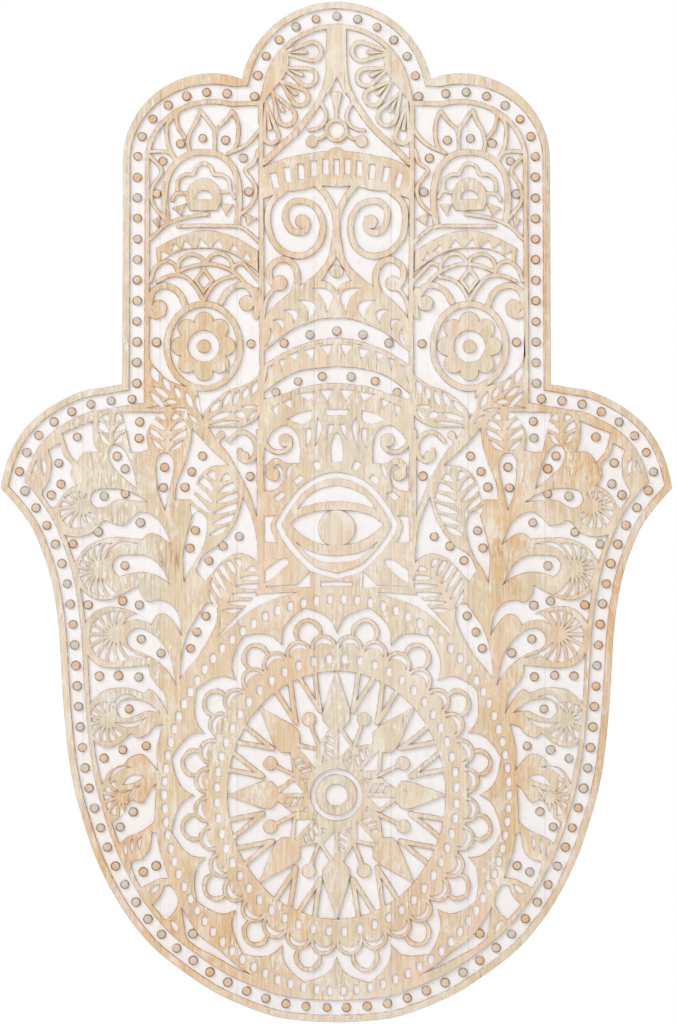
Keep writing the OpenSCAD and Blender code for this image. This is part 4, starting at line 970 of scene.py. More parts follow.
def left_in_bays():
    """What stands in the bays: curls, petal hearts, knobs, the rosette's petals and the iris."""
    kept = []
    for line in [FLAME_CURL] + KNOB_LINES:
        kept += strokes(line, LINE_W)
    for foot, head, r in CORNER_PETALS:
        foot, head = Vector(foot), Vector(head)
        kept.append(drop(foot.lerp(head, 0.24), foot.lerp(head, 0.8), 2.3))
    kept += [circle(c, r) for c, r in BAY_KNOBS + [(ROSETTE_C, ROSETTE_DISC_R)]]
    for i in range(ROSETTE_PETALS):
        a = 2 * math.pi * i / ROSETTE_PETALS
        out_x, out_y = ROSETTE_HEADS[0] * math.cos(a), ROSETTE_HEADS[1] * math.sin(a)
        kept.append(drop(ROSETTE_C, (ROSETTE_C[0] + out_x, ROSETTE_C[1] + out_y), ROSETTE_HEAD_R))
    return mirrored(kept) + [circle(EYE_C, IRIS_R, 40)]


def fine_cuts():
    """The shallow cuts: crescents, teeth, fans, ferns and the slots of the fence."""
    fine = [moon(m) for m in MIDDLE_MOONS + SIDE_MOONS + VINE_MOONS] + [blob(SLIVER)]
    fine += [[mm(p) for p in t] for t in TEETH + SIDE_TEETH]
    for f in FANS:
        fine += fan(f)
    for f in FERNS:
        fine += fern(f)
    for x, y, turn in FENCE_SLOTS:
        fine.append(bar((x, y), 4.6 * GRID + 1, 15.5 * GRID, turn))
    return mirrored(fine) + [bar(MIDDLE_SLOT, 4 * GRID + 1, 16 * GRID, 0)]


def bar(centre, wide, long, turn):
    """A straight cut about a place on the pattern."""
    t = math.radians(turn)
    u = Vector((math.cos(t), math.sin(t))) * wide / 2
    v = Vector((-math.sin(t), math.cos(t))) * long / 2
    c = mm(centre)
    return [c - u - v, c + u - v, c + u + v, c - u + v]


def joint(k):
    """The place across the panel of the joint after stave k."""
    return -JOINT_SHIFT + (k - 4) * STAVE_W


def carve_panel():
    """The whole plaque in one, before it is parted into staves."""
    block = [(PANEL_BACK, -0.3), (PANEL_BACK - 0.3, 0), (TOP + 0.7, 0), (TOP + 0.2, -0.2), (TOP, -0.7)]
    panel = prism("panel", hand(), block)
    combine(panel, [prism("channel", hand(RIM_W), HOLLOW)], "DIFFERENCE")
    ridge = prism("ridge", hand(RIM_W + CHANNEL_W), RAISED)
    combine(ridge, [prism("inside", hand(RIM_W + CHANNEL_W + RIDGE_W), CUT)], "DIFFERENCE")
    field = carve_field()
    region = [(GROUND + 2, 0), (TOP - 2, 0)]
    combine(field, [prism("region", hand(RIM_W + CHANNEL_W + RIDGE_W / 2), region)], "INTERSECT")
    beads = []
    for i, b in enumerate(bead_places()):
        off = BEAD_DRIFT * Vector((noise.noise(Vector((i, 1.5, 0))), noise.noise(Vector((i, 7.5, 0)))))
        r = BEAD_D / 2 * (1 + BEAD_VARY * noise.noise(Vector((i, 4.5, 0))))
        centre = b + off
        turns = [t * math.pi / 10 for t in range(20)]
        loop = [centre + r * Vector((math.cos(t), math.sin(t))) for t in turns]
        beads.append(prism("bead", loop, BEAD))
    return combine(panel, [ridge, field] + beads, "UNION")


# Turned and pressed hardware
def lathe(profile, turns=32):
    """A closed turned shape from (radius, y) points, about the Y axis."""
    bm = bmesh.new()
    verts = [bm.verts.new((r, y, 0)) for r, y in profile]
    edges = [bm.edges.new(pair) for pair in zip(verts, verts[1:])]
    bmesh.ops.spin(
        bm, geom=verts + edges, cent=(0, 0, 0), axis=(0, 1, 0), angle=2 * math.pi, steps=turns, use_merge=True
    )
    bmesh.ops.remove_doubles(bm, verts=bm.verts, dist=0.001)
    bmesh.ops.recalc_face_normals(bm, faces=bm.faces)
    return bm


def cross_cutter(width, reach, front, depth):
    """Two tapered blades that press a cross recess from the front down to a depth, both along Y."""
    blades = []
    for turn in (0, 1):
        w, l = (reach, width) if turn else (width, reach)
        loop = [Vector((-w, -l)) / 2, Vector((w, -l)) / 2, Vector((w, l)) / 2, Vector((-w, l)) / 2]
        sunk = -min(width, 0.45 * reach) * 0.35
        blades.append(prism("blade", loop, [(front + 1, 0.1), (front, 0), (front - depth, sunk)]))
    return blades


def row_of(name, made, places, turns):
    """Copies of one mesh at several places, each turned a little about Y, as one piece."""
    bm = bmesh.new()
    for at, turn in zip(places, turns):
        copy = made.data.copy()
        copy.transform(Matrix.Translation(at / 1000) @ Matrix.Rotation(turn, 4, "Y"))
        bm.from_mesh(copy)
        bpy.data.meshes.remove(copy)
    return from_bmesh(name, bm)


def hole(r, front, back, at, turns=32):
    """A round cutter along Y, from front to back of a place."""
    bm = lathe([(0, front), (r, front), (r, back), (0, back)], turns)
    return finished("hole", moved(bm, at))


def countersunk_screw():
    head_h = (SCREW_HEAD_D - SCREW_D) / 2
    r = SCREW_HEAD_D / 2
    end = -BATTEN_T - SCREW_BITE
    profile = [
        (0, -0.05), (1.2, -0.08), (2.4, -0.18), (r - 0.5, -0.36), (r - 0.12, -SCREW_SEAT),
        (r, -SCREW_SEAT - 0.12), (SCREW_D / 2, -SCREW_SEAT - head_h), (SCREW_D / 2, end + 2.5),
        (0.25, end), (0, end),
    ]
    screw = finished("screw", lathe(profile))
    return combine(screw, cross_cutter(1.0, 4.6, 0.0, 1.7), "DIFFERENCE")


def pan_head_pin():
    r, top = PIN_HEAD_D / 2, STRAP_T + PIN_HEAD_H
    profile = [
        (0, top), (1.2, top - 0.05), (2.1, top - 0.28), (2.7, top - 0.75), (r, top - 1.25),
        (r, STRAP_T + 0.12), (r - 0.12, STRAP_T), (PIN_D / 2, STRAP_T), (PIN_D / 2, 2.2 - PIN_BITE),
        (0.2, -PIN_BITE), (0, -PIN_BITE),
    ]
    pin = finished("pin", lathe(profile))
    return combine(pin, cross_cutter(0.85, 3.2, top, 1.2), "DIFFERENCE")


def batten(name, long, z):
    """A planed batten with eased edges and a countersunk hole for each screw."""
    bm = bmesh.new()
    bmesh.ops.create_cube(bm, size=1)
    bmesh.ops.scale(bm, vec=(long, BATTEN_T, BATTEN_W), verts=bm.verts)
    bmesh.ops.bevel(
        bm, geom=bm.edges[:], offset=0.7, segments=3, profile=0.5, affect="EDGES", material=-1,
        clamp_overlap=True
    )
    piece = finished(name, moved(bm, (0, -BATTEN_T / 2, z)))
    head_r = SCREW_HEAD_D / 2 + 2 * DRILL_GAP
    shank_r = SCREW_D / 2 + DRILL_GAP
    seat_end = -SCREW_SEAT - (SCREW_HEAD_D - SCREW_D) / 2 - DRILL_GAP
    beyond = -BATTEN_T - 1
    sink = [(0, 1), (head_r, 1), (head_r, -SCREW_SEAT), (shank_r, seat_end), (shank_r, beyond), (0, beyond)]
    tools = [finished("sink", moved(lathe(sink), (x, 0, z))) for x in screw_xs(long)]
    return combine(piece, tools, "DIFFERENCE")


def moved(bm, by):
    bmesh.ops.translate(bm, vec=by, verts=bm.verts)
    return bm


def screw_xs(long):
    """The middles of the staves that a batten of this length crosses."""
    middles = [(joint(k - 1) + joint(k)) / 2 for k in range(2, STAVES)]
    return [c for c in middles if abs(c) < long / 2 - SCREW_HEAD_D]


# The strap hangs below the eye's axis: how far down its screws sit, and its length
PIN_DROPS = [RING_DROP + WIRE_D / 2 + 1 + PIN_HEAD_D / 2, RING_DROP + WIRE_D / 2 + 2 + 1.5 * PIN_HEAD_D]
STRAP_L = PIN_DROPS[1] + PIN_HEAD_D / 2 + 1
HINGE_Y = STRAP_T + WIRE_D / 2 + EYE_GAP + EYE_LIFT
EYE_R = WIRE_D / 2 + EYE_GAP


def strap(name, x):
    """A flat strap with a round end, rolled over at the top into the ring's eye."""
    low = STRAP_W / 2 - STRAP_L
    outline = [Vector((STRAP_W / 2, -1.2)), Vector((-STRAP_W / 2, -1.2))]
    for i in range(25):
        a = math.pi + math.pi * i / 24
        outline.append(Vector((STRAP_W / 2 * math.cos(a), low + STRAP_W / 2 * math.sin(a))))
    flat = prism(name, outline, [(0, -0.15), (0.15, 0), (STRAP_T - 0.15, 0), (STRAP_T, -0.15)])
    bm = bmesh.new()
    core = STRAP_T / 2
    r = EYE_R + core
    profile = [(core, -3.2), (core, -2.0), (core + 0.04, -1.2), (core + 0.14, -0.6)]
    for i in range(33):
        a = math.radians(180 - 312 * i / 32)
        profile.append((HINGE_Y + r * math.cos(a), r * math.sin(a)))
    verts = [bm.verts.new((-STRAP_W / 2, y, z)) for y, z in profile]
    edges = [bm.edges.new(pair) for pair in zip(verts, verts[1:])]
    made = bmesh.ops.extrude_edge_only(bm, edges=edges)
    fresh = [g for g in made["geom"] if isinstance(g, bmesh.types.BMVert)]
    bmesh.ops.translate(bm, vec=(STRAP_W, 0, 0), verts=fresh)
    bmesh.ops.recalc_face_normals(bm, faces=bm.faces)
    roll = finished("roll", bm)
    thick = roll.modifiers.new("sheet", "SOLIDIFY")
    thick.thickness = STRAP_T / 1000
    thick.offset = 0
    roll.data = worked_out(roll)
    roll.modifiers.clear()
    combine(flat, [roll], "UNION")
    combine(flat, [hole(PIN_D / 2 + DRILL_GAP, 3, -1, (0, 0, -d)) for d in PIN_DROPS], "DIFFERENCE")
    flat.data.transform(Matrix.Translation(Vector((x, PANEL_BACK, HANGER_Z)) / 1000))
    return flat


def d_ring(name, x):
    """Bent wire: a straight bar in the eye, two tight bends, short sides and a half-round."""
    half = RING_W / 2
    points = []
    for centre, r, start, stop in (
        ((half - RING_BEND, -RING_BEND), RING_BEND, 90, 0),
        ((0, half - RING_DROP), half, 0, -180),
        ((RING_BEND - half, -RING_BEND), RING_BEND, 180, 90),
    ):
        n = 10 if r == RING_BEND else 40
        for i in range(n + 1):
            a = math.radians(start + (stop - start) * i / n)
            points.append((centre[0] + r * math.cos(a), centre[1] + r * math.sin(a)))
    line = bpy.data.curves.new(name, "CURVE")
    line.dimensions = "3D"
    line.bevel_depth = WIRE_D / 2 / 1000
    line.bevel_resolution = 6
    spline = line.splines.new("POLY")
    spline.points.add(len(points) - 1)
    for point, (px, pz) in zip(spline.points, points):
        point.co = ((x + px) / 1000, (PANEL_BACK + HINGE_Y) / 1000, (HANGER_Z + pz) / 1000, 1)
    spline.use_cyclic_u = True
    shape = put_out(name + "_line", line)
    mesh = worked_out(shape)
    bpy.data.objects.remove(shape)
    return put_out(name, mesh)


# Finishes
def tint(r, g, b):
    """A colour as it looks on screen, from 0 to 255, for a shader."""
    out = []
    for c in (r, g, b):
        c = c / 255
        out.append(c / 12.92 if c <= 0.04045 else ((c + 0.055) / 1.055) ** 2.4)
    return (*out, 1)


def put(tree, kind, values=None, **settings):
    """A shader node; each value is either a number or colour, or another node's output."""
    made = tree.nodes.new("ShaderNode" + kind)
    for key, value in settings.items():
        setattr(made, key, value)
    for key, value in (values or {}).items():
        if isinstance(value, bpy.types.NodeSocket):
            tree.links.new(value, made.inputs[key])
        else:
            made.inputs[key].default_value = value
    return made


def calc(tree, operation, a, b=0.5, clamp=False):
    return put(tree, "Math", {0: a, 1: b}, operation=operation, use_clamp=clamp).outputs[0]


def span(tree, value, low, high, start=0.0, stop=1.0):
    """A value from low to high turned into one from start to stop."""
    keys = {"Value": value, "From Min": low, "From Max": high, "To Min": start, "To Max": stop}
    return put(tree, "MapRange", keys, clamp=True).outputs["Result"]


def mixed(tree, share, a, b):
    """Colour a with a share of colour b over it."""
    made = put(tree, "Mix", data_type="RGBA", clamp_factor=True)
    for socket, value in ((made.inputs[0], share), (made.inputs[6], a), (made.inputs[7], b)):
        if isinstance(value, bpy.types.NodeSocket):
            tree.links.new(value, socket)
        else:
            socket.default_value = value
    return made.outputs[2]


def layered(tree, base, layers):
    """Tones laid over a base, each by a value, where it starts and is full, and its share there."""
    for value, low, high, share, tone in layers:
        base = mixed(tree, span(tree, value, low, high, 0, share), base, tint(*tone))
    return base


def spots(tree, place, stretch, scale, detail=4.0, rough=0.6, twist=0.0, shift=(0, 0, 0)):
    """Noise stretched along an axis: a small stretch makes it long."""
    spread = put(tree, "Mapping", {"Vector": place, "Scale": stretch, "Location": shift})
    keys = {"Scale": scale, "Detail": detail, "Roughness": rough, "Distortion": twist}
    return put(tree, "TexNoise", {"Vector": spread.outputs[0], **keys}).outputs["Fac"]


def start_material(name):
    material = bpy.data.materials.new(name)
    material.use_nodes = True
    tree = material.node_tree
    tree.nodes.clear()
    out = put(tree, "OutputMaterial")
    shader = put(tree, "BsdfPrincipled")
    tree.links.new(shader.outputs[0], out.inputs["Surface"])
    return material, tree, shader


def surface(tree, shader, base, rough, relief, strength, depth):
    """Joins a colour, a roughness and fine relief to a shader."""
    tree.links.new(base, shader.inputs["Base Color"])
    tree.links.new(rough, shader.inputs["Roughness"])
    bump = put(tree, "Bump", {"Strength": strength, "Distance": depth, "Height": relief})
    tree.links.new(bump.outputs[0], shader.inputs["Normal"])


# The sanded wood of each stave, left to right
STAVE_TONES = [
    (226, 209, 186), (223, 210, 190), (225, 205, 174), (229, 207, 182), (232, 218, 199), (231, 216, 196),
    (229, 211, 184), (225, 206, 179), (228, 206, 184),
]
# Where the wood shows warmer or is greyed by wash: middle, half width and half height in metres, how much
WARM_PATCHES = [
    (-0.075, -0.375, 0.08, 0.045, 1.0), (-0.03, -0.27, 0.03, 0.1, 0.5), (-0.104, -0.05, 0.022, 0.11, 0.9),
    (0.148, -0.095, 0.035, 0.035, 1.0), (0.1, -0.29, 0.02, 0.1, 0.9), (-0.075, 0.0, 0.03, 0.05, 0.6),
    (-0.12, -0.3, 0.02, 0.07, 1.0), (0.05, -0.37, 0.04, 0.04, 0.7), (-0.02, 0.03, 0.03, 0.03, 0.6),
    (-0.06, 0.14, 0.02, 0.05, 0.8), (0.095, -0.12, 0.02, 0.05, 0.8), (0.14, -0.2, 0.02, 0.04, 0.6),
    (0.193, -0.1, 0.012, 0.05, 0.8), (0.166, -0.18, 0.012, 0.06, 1.0), (0.158, -0.26, 0.01, 0.06, 0.7),
    (0.1225, 0.02, 0.012, 0.05, 1.0), (-0.141, -0.33, 0.015, 0.05, 1.0), (-0.09, -0.4, 0.03, 0.02, 1.0),
    (0.1, -0.155, 0.022, 0.05, 1.0), (0.125, -0.06, 0.04, 0.012, 0.8), (-0.196, -0.1, 0.012, 0.04, 0.6),
    (-0.04, -0.11, 0.02, 0.04, 0.5), (0.12, 0.06, 0.015, 0.06, 0.6), (0.0, 0.085, 0.03, 0.02, 0.6),
]
GREY_PATCHES = [
    (0.0, -0.3, 0.018, 0.09, 0.7), (0.135, 0.09, 0.012, 0.07, 0.8), (-0.135, -0.14, 0.03, 0.08, 0.9),
    (-0.112, 0.1, 0.01, 0.05, 0.8), (0.0, -0.21, 0.014, 0.03, 0.9), (0.118, -0.2, 0.01, 0.09, 0.6),
    (0.0, -0.07, 0.03, 0.04, 0.6), (-0.14, -0.07, 0.03, 0.02, 1.0), (0.0, -0.4, 0.025, 0.03, 0.6),
    (-0.16, -0.02, 0.04, 0.03, 0.6), (-0.125, -0.24, 0.02, 0.05, 0.7),
]
# Where weathering shows as dark streaks
DARK_PATCHES = [
    (-0.097, 0.051, 0.019, 0.018, 1.0), (-0.114, 0.104, 0.01, 0.02, 0.9), (-0.104, -0.158, 0.014, 0.02, 1.0),
    (-0.085, -0.09, 0.01, 0.03, 0.7), (0.1, -0.155, 0.012, 0.02, 0.8), (-0.02, -0.055, 0.03, 0.01, 0.7),
    (0.0, -0.285, 0.03, 0.03, 0.7), (0.075, -0.03, 0.02, 0.01, 0.6), (-0.165, -0.06, 0.012, 0.012, 0.6),
]


def patches(tree, spot, ragged, places):
    """Soft ragged patches on the front, as one value."""
    total = None
    for x, z, half_x, half_z, much in places:
        keys = {"Location": (-x / half_x, 0, -z / half_z), "Scale": (1 / half_x, 0, 1 / half_z)}
        near = put(tree, "Mapping", {"Vector": spot, **keys}).outputs[0]
        far = put(tree, "VectorMath", {0: near}, operation="LENGTH").outputs["Value"]
        far = calc(tree, "ADD", far, calc(tree, "MULTIPLY", calc(tree, "SUBTRACT", ragged, 0.5), 1.6))
        one = span(tree, far, 1.15, 0.35, 0, much)
        total = one if total is None else calc(tree, "MAXIMUM", total, one)
    return total


def stave_tone(tree, across):
    """One tone of sanded wood for each stave."""
    half = 0.21
    tone = put(tree, "ValToRGB", {0: span(tree, across, -half, half)})
    ramp = tone.color_ramp
    ramp.interpolation = "CONSTANT"
    for k, colour in enumerate(STAVE_TONES):
        at = 0 if k == 0 else (joint(k) / 1000 + half) / (2 * half)
        stop = ramp.elements[k] if k < 2 else ramp.elements.new(at)
        stop.position = at
        stop.color = tint(*colour)
    return tone.outputs[0]


def grain(tree, spot, board):
    """Noises for figure, fibre and the like. Most run up each board and are shifted from one to the next."""
    apart = put(tree, "CombineXYZ", {"Z": calc(tree, "MULTIPLY", board, 0.37)}).outputs[0]
    own = put(tree, "VectorMath", {0: spot, 1: apart}, operation="ADD").outputs[0]
    return {
        "figure": spots(tree, own, (1, 0.5, 0.05), 190, 4, 0.6, 0.6),
        "fibre": spots(tree, own, (1, 0.5, 0.022), 1050, 3, 0.55),
        "hairs": spots(tree, own, (1, 0.5, 0.045), 620, 5, 0.75, 0.2, shift=(6, 1, 7)),
        "pores": spots(tree, own, (1, 0.6, 0.08), 900, 2, 0.5, shift=(3, 1, 2)),
        "cloud": spots(tree, own, (1, 1, 0.5), 26, 4, 0.6, 0.4),
        "hue": spots(tree, own, (1, 1, 0.4), 48, 3, 0.5, 0.2, shift=(8, 3, 5)),
        "fleck": spots(tree, own, (1, 1, 0.22), 700, 4, 0.7, 0.3, shift=(1, 5, 2)),
        "blotch": spots(tree, spot, (1, 1, 0.7), 55, 4, 0.65, 0.3, shift=(4, 2, 9)),
        "faded": spots(tree, spot, (1, 1, 0.55), 85, 6, 0.72, 0.5, shift=(9, 9, 1)),
    }


def sanded_top(tree, spot, across, noises, warm, grey):
    """The carving's flat tops: each stave's wood, its grain, dark ticks, and the wash left in it."""
    hue, fibre, hairs, blotch = (noises[key] for key in ("hue", "fibre", "hairs", "blotch"))
    wood = mixed(tree, warm, stave_tone(tree, across), tint(221, 180, 130))
    wood = mixed(tree, grey, wood, tint(208, 197, 174))
    wood = layered(tree, wood, (
        (hue, 0.52, 0.68, 0.5, (234, 203, 175)),
        (hue, 0.46, 0.32, 0.4, (224, 209, 172)),
        (noises["figure"], 0.44, 0.7, 0.26, (200, 168, 128)),
        (fibre, 0.48, 0.7, 0.26, (190, 158, 124)),
        (hairs, 0.5, 0.7, 0.4, (196, 160, 122)),
        (hairs, 0.48, 0.3, 0.45, (240, 228, 210)),
    ))
    dark = patches(tree, spot, blotch, DARK_PATCHES)
    worked = calc(tree, "MAXIMUM", dark, span(tree, blotch, 0.5, 0.62, 0.05, 0.6))
    ticks = calc(tree, "MULTIPLY", span(tree, noises["pores"], 0.52, 0.64, 0, 0.75), worked)
    wood = mixed(tree, ticks, wood, tint(146, 118, 88))
    wood = layered(tree, wood, (
        (fibre, 0.48, 0.34, 0.28, (240, 230, 213)),
        (noises["faded"], 0.5, 0.68, 0.75, (240, 232, 220)),
    ))
    rubbed = span(tree, calc(tree, "ADD", blotch, calc(tree, "MULTIPLY", grey, 0.12)), 0.52, 0.64, 0.18, 1)
    wash = calc(tree, "MULTIPLY", span(tree, noises["fleck"], 0.5, 0.62, 0, 0.85), rubbed)
    return mixed(tree, wash, wood, tint(243, 238, 231))


def paint_in_cuts(tree, spot, hue):
    """White paint, thin in places."""
    thin = spots(tree, spot, (1, 1, 0.7), 130, 5, 0.65, 0.3, shift=(7, 2, 4))
    streak = spots(tree, spot, (1, 1, 0.25), 420, 3, 0.6, 0.3, shift=(2, 8, 4))
    return layered(tree, tint(243, 241, 240), (
        (thin, 0.5, 0.75, 0.7, (234, 225, 214)),
        (streak, 0.6, 0.75, 0.5, (218, 205, 190)),
        (hue, 0.35, 0.65, 0.35, (243, 235, 236)),
    ))


def bare_back(tree, board, noises):
    """Plain wood, each stave a little lighter or darker than the next."""
    bare = mixed(tree, span(tree, noises["figure"], 0.38, 0.66), tint(204, 172, 132), tint(172, 132, 90))
    stave = put(tree, "TexWhiteNoise", {"W": calc(tree, "ADD", board, 7.5)}, noise_dimensions="1D")
    return layered(tree, bare, (
        (noises["fibre"], 0.45, 0.75, 0.4, (140, 100, 64)),
        (stave.outputs["Value"], 0.2, 0.9, 0.32, (226, 196, 158)),
        (stave.outputs["Value"], 0.5, 0.0, 0.22, (150, 110, 72)),
    ))


def carved_wood():
    """Limewashed wood: tops sanded back to pale wood, cuts left white, edges worn bare, back plain."""
    material, tree, shader = start_material("limewashed_wood")
    place = put(tree, "TexCoord")
    spot = place.outputs["Object"]
    where = put(tree, "SeparateXYZ", {0: spot})
    across, depth = where.outputs["X"], where.outputs["Y"]
    facing = put(tree, "SeparateXYZ", {0: place.outputs["Normal"]}).outputs["Y"]
    shifted = calc(tree, "ADD", across, JOINT_SHIFT / 1000)
    board = calc(tree, "FLOOR", calc(tree, "DIVIDE", shifted, STAVE_W / 1000))
    noises = grain(tree, spot, board)
    blotch, cloud, fleck = noises["blotch"], noises["cloud"], noises["fleck"]
    warm = patches(tree, spot, blotch, WARM_PATCHES)
    warm = calc(tree, "MAXIMUM", warm, span(tree, cloud, 0.5, 0.7, 0, 0.6))
    grey = patches(tree, spot, blotch, GREY_PATCHES)
    grey = calc(tree, "MAXIMUM", grey, span(tree, cloud, 0.47, 0.3, 0, 0.85))
    wood = sanded_top(tree, spot, across, noises, warm, grey)

    # Beads: some worn to orange wood, some still washed grey
    knob = span(tree, depth, -0.0259, -0.0257)
    each = spots(tree, spot, (1, 1, 1), 75, 1, 0.5, shift=(2, 6, 1))
    bead = mixed(tree, span(tree, each, 0.42, 0.5), tint(204, 196, 186), tint(222, 194, 166))
    bead = mixed(tree, span(tree, each, 0.54, 0.62), bead, tint(220, 176, 132))
    wood = mixed(tree, calc(tree, "MULTIPLY", knob, 0.75), wood, bead)

    # Flat tops are wood, and what lies deeper is painted
    flat = span(tree, facing, -0.9, -0.98)
    sunk = span(tree, depth, -0.0253, -0.0251)
    bare_top = calc(tree, "MULTIPLY", flat, calc(tree, "SUBTRACT", 1.0, sunk))
    base = mixed(tree, bare_top, paint_in_cuts(tree, spot, noises["hue"]), wood)

    # The knife's edge: brown in broken lines, painted over elsewhere. Round the beads a darker ring, partly
    # stain and partly painted shade on their rounded sides
    broken = spots(tree, spot, (1, 1, 1), 230, 4, 0.7, 0.4, shift=(5, 5, 1))
    slanted = calc(tree, "SUBTRACT", 1.0, flat)
    high = span(tree, depth, -0.0236, -0.025, 0.35, 1.0)
    worn = span(tree, broken, 0.4, 0.58, 0.15, 0.8)
    bare_edge = calc(tree, "ADD", worn, calc(tree, "MULTIPLY", warm, 0.35), clamp=True)
    edge = calc(tree, "MULTIPLY", calc(tree, "MULTIPLY", slanted, high), bare_edge)
    base = mixed(tree, edge, base, mixed(tree, warm, tint(184, 150, 116), tint(200, 142, 80)))
    rounded = calc(tree, "MULTIPLY", span(tree, facing, -0.3, -0.5), calc(tree, "MULTIPLY", slanted, knob))
    # Painted shade with some stain: each bead's rounded side is darkened to a dim copy of its top's grey or
    # orange
    bead_rim_stain_and_shade = calc(tree, "MULTIPLY", rounded, span(tree, broken, 0.36, 0.52, 0.35, 0.9))
    bead_rim_stain_and_shade_tone = mixed(tree, span(tree, each, 0.44, 0.56), tint(142, 134, 124), tint(142, 108, 82))
    base = mixed(tree, bead_rim_stain_and_shade, base, bead_rim_stain_and_shade_tone)

    base = mixed(tree, span(tree, facing, 0.3, 0.7), base, bare_back(tree, board, noises))
    shader.inputs["Specular IOR Level"].default_value = 0.25
    relief = calc(tree, "ADD", calc(tree, "MULTIPLY", noises["fibre"], 0.5),
                  calc(tree, "MULTIPLY", noises["figure"], 0.3))
    relief = calc(tree, "ADD", relief, calc(tree, "MULTIPLY", fleck, 0.3))
    surface(tree, shader, base, span(tree, fleck, 0.3, 0.7, 0.72, 0.9), relief, 0.3, 0.0005)
    return material


def batten_wood():
    """Planed pine with its grain along the batten and sawn ends."""
    material, tree, shader = start_material("planed_pine")
    spot = put(tree, "TexCoord").outputs["Object"]
    rings = put(tree, "Mapping", {"Vector": spot, "Scale": (0.045, 1, 1), "Rotation": (0.5, 0, 0.01)})
    keys = {"Vector": rings.outputs[0], "Scale": 190.0, "Distortion": 5.0, "Detail": 3.0, "Detail Scale": 1.4}
    line = put(tree, "TexWave", keys, wave_type="BANDS", bands_direction="Z").outputs["Fac"]
    fibre = spots(tree, spot, (0.02, 1, 1), 1500, 3, 0.6)
    cloud = spots(tree, spot, (0.3, 1, 1), 40, 4, 0.6, 0.3)
    base = mixed(tree, span(tree, line, 0.45, 0.95, 0, 0.8), tint(222, 189, 143), tint(190, 146, 98))
    base = layered(tree, base, (
        (fibre, 0.45, 0.75, 0.35, (168, 124, 80)),
        (cloud, 0.45, 0.7, 0.3, (236, 214, 180)),
    ))
    shader.inputs["Specular IOR Level"].default_value = 0.35
    relief = calc(tree, "ADD", calc(tree, "MULTIPLY", fibre, 0.6), calc(tree, "MULTIPLY", line, 0.3))
    surface(tree, shader, base, span(tree, fibre, 0.3, 0.7, 0.55, 0.75), relief, 0.3, 0.0005)
    return material


def plated_steel(name, colour, rough, stretch):
    """Zinc plate, with a faint bloom and fine scratches."""
    material, tree, shader = start_material(name)
    spot = put(tree, "TexCoord").outputs["Object"]
    bloom = spots(tree, spot, (1, 1, 1), 260, 5, 0.6, 0.2)
    scratch = spots(tree, spot, stretch, 2600, 3, 0.6)
    base = layered(tree, tint(*colour), ((bloom, 0.4, 0.7, 0.5, [c * 0.86 for c in colour]),))
    shader.inputs["Metallic"].default_value = 1.0
    gloss = calc(tree, "ADD", span(tree, bloom, 0.3, 0.7, rough - 0.06, rough + 0.1),
                 span(tree, scratch, 0.5, 0.8, 0, 0.12))
    surface(tree, shader, base, gloss, scratch, 0.12, 0.0002)
    return material


def fit_out(piece, material, slot, body, *nodes, sharp=35, sawn=False):
    """Cleans a piece, gives it its finish and puts it in its nodes' place. Sawn wood keeps flat faces."""
    bm = bmesh.new()
    bm.from_mesh(piece.data)
    bmesh.ops.triangulate(bm, faces=bm.faces)
    bmesh.ops.remove_doubles(bm, verts=bm.verts, dist=2e-6)
    bmesh.ops.dissolve_degenerate(bm, edges=bm.edges, dist=1e-6)
    bm.to_mesh(piece.data)
    bm.free()
    mesh = piece.data
    mesh.materials.clear()
    mesh.materials.append(material)
    mesh.polygons.foreach_set("use_smooth", [not sawn or abs(p.normal.y) < 0.99 for p in mesh.polygons])
    mesh.set_sharp_from_angle(angle=math.radians(sharp))
    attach(piece, body)
    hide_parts(*nodes)


# How far out a slab reaches at the outer staves, past the edge of the panel
SIDE_REACH = 300


def slab_between(left, right):
    """A block from left to right that is deeper and taller than the panel."""
    slab = bmesh.new()
    bmesh.ops.create_cube(slab, size=1)
    bmesh.ops.scale(slab, vec=(right - left, 60, 800), verts=slab.verts)
    return finished("slab", moved(slab, ((left + right) / 2, -15, -100)))


# The plaque, parted along its glue joints
wood = carved_wood()
panel = carve_panel()
drills = []
for long, z in (UPPER_BATTEN, LOWER_BATTEN):
    for x in screw_xs(long):
        end = -BATTEN_T - DRILL_GAP - SCREW_BITE
        drills.append(hole(SCREW_D / 2 + DRILL_GAP, 1, end, (x, 0, z), 20))
for side in (-1, 1):
    for d in PIN_DROPS:
        spot = (side * HANGER_X, PANEL_BACK, HANGER_Z - d)
        drills.append(hole(PIN_D / 2 + DRILL_GAP, 3, -PIN_BITE - DRILL_GAP, spot, 16))
combine(panel, drills, "DIFFERENCE")
for k in range(1, STAVES + 1):
    left = -SIDE_REACH if k == 1 else joint(k - 1) + GLUE_GAP
    right = SIDE_REACH if k == STAVES else joint(k) - GLUE_GAP
    name = f"carved_stave_{k}"
    stave = put_out(name, panel.data.copy())
    combine(stave, [slab_between(left, right)], "INTERSECT")
    stave.data.name = name
    fit_out(stave, wood, "carved_wood", "plaque", f"stave_{k}", sawn=True)
bpy.data.objects.remove(panel)

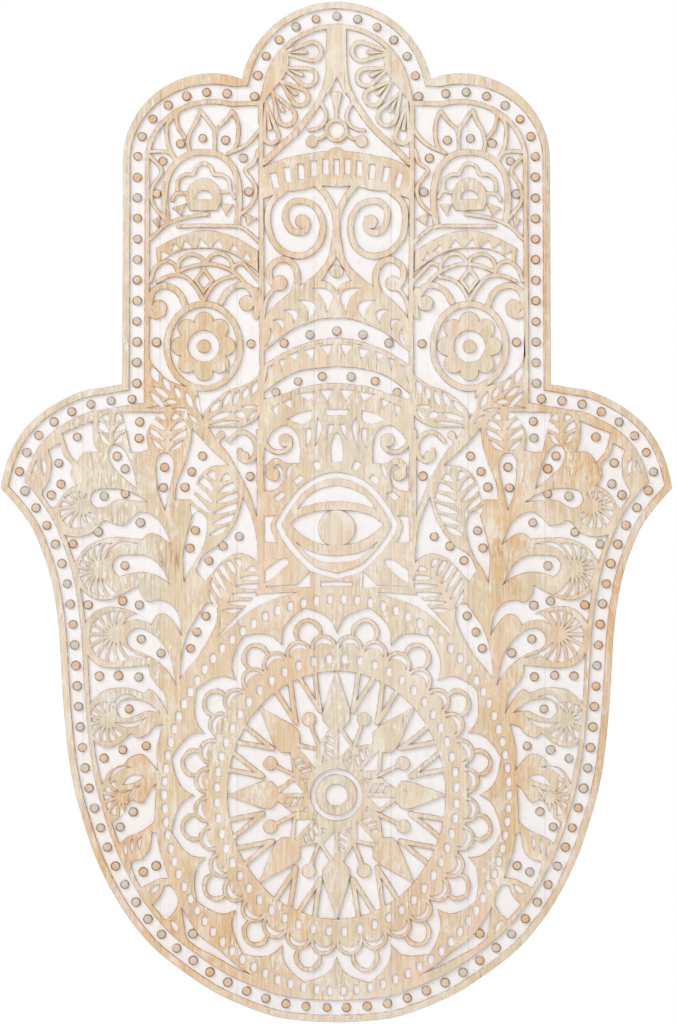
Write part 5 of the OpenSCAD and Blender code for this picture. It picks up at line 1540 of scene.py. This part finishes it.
# Battens and hangers behind
pine = batten_wood()
zinc = plated_steel("zinc_plate", (196, 197, 196), 0.34, (1, 1, 0.05))
screw_zinc = plated_steel("yellow_zinc_plate", (205, 190, 150), 0.3, (1, 0.1, 1))
one_screw = countersunk_screw()
one_pin = pan_head_pin()
for label, (long, z) in (("upper", UPPER_BATTEN), ("lower", LOWER_BATTEN)):
    fit_out(batten(f"{label}_batten", long, z), pine, "batten_wood", "plaque", f"batten_{label}")
    places = [Vector((x, 0, z)) for x in screw_xs(long)]
    turns = [1.7 * i * i + z for i in range(len(places))]
    row = row_of(f"{label}_batten_screws", one_screw, places, turns)
    fit_out(row, screw_zinc, "screw_steel", "plaque", f"screws_{label}")
for label, side in (("left", -1), ("right", 1)):
    x = side * HANGER_X
    fit_out(strap(f"{label}_strap", x), zinc, "hanger_steel", "plaque", f"hanger_strap_{label}")
    ring = d_ring(f"{label}_d_ring", x)
    fit_out(ring, zinc, "hanger_steel", f"ring_{label}", f"hanger_ring_{label}", sharp=60)
    places = [Vector((x, PANEL_BACK, HANGER_Z - d)) for d in PIN_DROPS]
    row = row_of(f"{label}_strap_screws", one_pin, places, [0.4 + side, 1.3 * side])
    fit_out(row, zinc, "hanger_steel", "plaque", f"hanger_screws_{label}")
for spare in (one_screw, one_pin):
    bpy.data.objects.remove(spare)


# Lamps at upper left, before the plaque and behind it: place, side and power
MIDDLE_OF_HAND = Vector((0, -0.02, -0.12))
for at, size, power in (
    (Vector((-1.4, -1.9, 1.3)), 1.7, 41),
    (Vector((0.8, -2.6, -0.2)), 1.9, 16),
    (Vector((0.4, 1.6, 1.2)), 1.2, 24),
):
    lamp = bpy.data.lights.new("lamp", "AREA")
    lamp.shape = "RECTANGLE"
    lamp.size = size
    lamp.size_y = size
    lamp.energy = power
    stand = put_out("lamp", lamp)
    stand.location = at
    stand.rotation_euler = (MIDDLE_OF_HAND - at).to_track_quat("-Z", "Y").to_euler()

# A white room for the camera and the metal, and a softer one for what it lights
world = bpy.data.worlds.new("room")
bpy.context.scene.world = world
world.use_nodes = True
tree = world.node_tree
tree.nodes.clear()
path = put(tree, "LightPath")
seen = calc(tree, "MAXIMUM", path.outputs["Is Camera Ray"], path.outputs["Is Glossy Ray"])
seen = calc(tree, "MAXIMUM", seen, path.outputs["Is Transmission Ray"])
level = span(tree, seen, 0, 1, 0.44, 1.0)
sky = put(tree, "Background", {"Color": (1, 1, 1, 1), "Strength": level})
out = put(tree, "OutputWorld")
tree.links.new(sky.outputs[0], out.inputs["Surface"])

# A pale floor below the plaque
floor_mesh = bmesh.new()
bmesh.ops.create_grid(floor_mesh, x_segments=1, y_segments=1, size=1000)
floor = finished("floor", moved(floor_mesh, (0, -300, -600)))
pale, tree, shader = start_material("pale_floor")
shader.inputs["Base Color"].default_value = (0.8, 0.8, 0.8, 1)
shader.inputs["Roughness"].default_value = 0.8
floor.data.materials.append(pale)

# The camera looks straight at the plaque, as the photograph does
camera = bpy.data.cameras.new("camera")
camera.sensor_fit = "VERTICAL"
camera.sensor_height = 24
camera.lens = 100
eye = put_out("camera", camera)
eye.location = (0.0009, -2.573, -0.1265)
eye.rotation_euler = (math.radians(90), 0, 0)
bpy.context.scene.camera = eye
bpy.context.scene.view_settings.view_transform = "Standard"
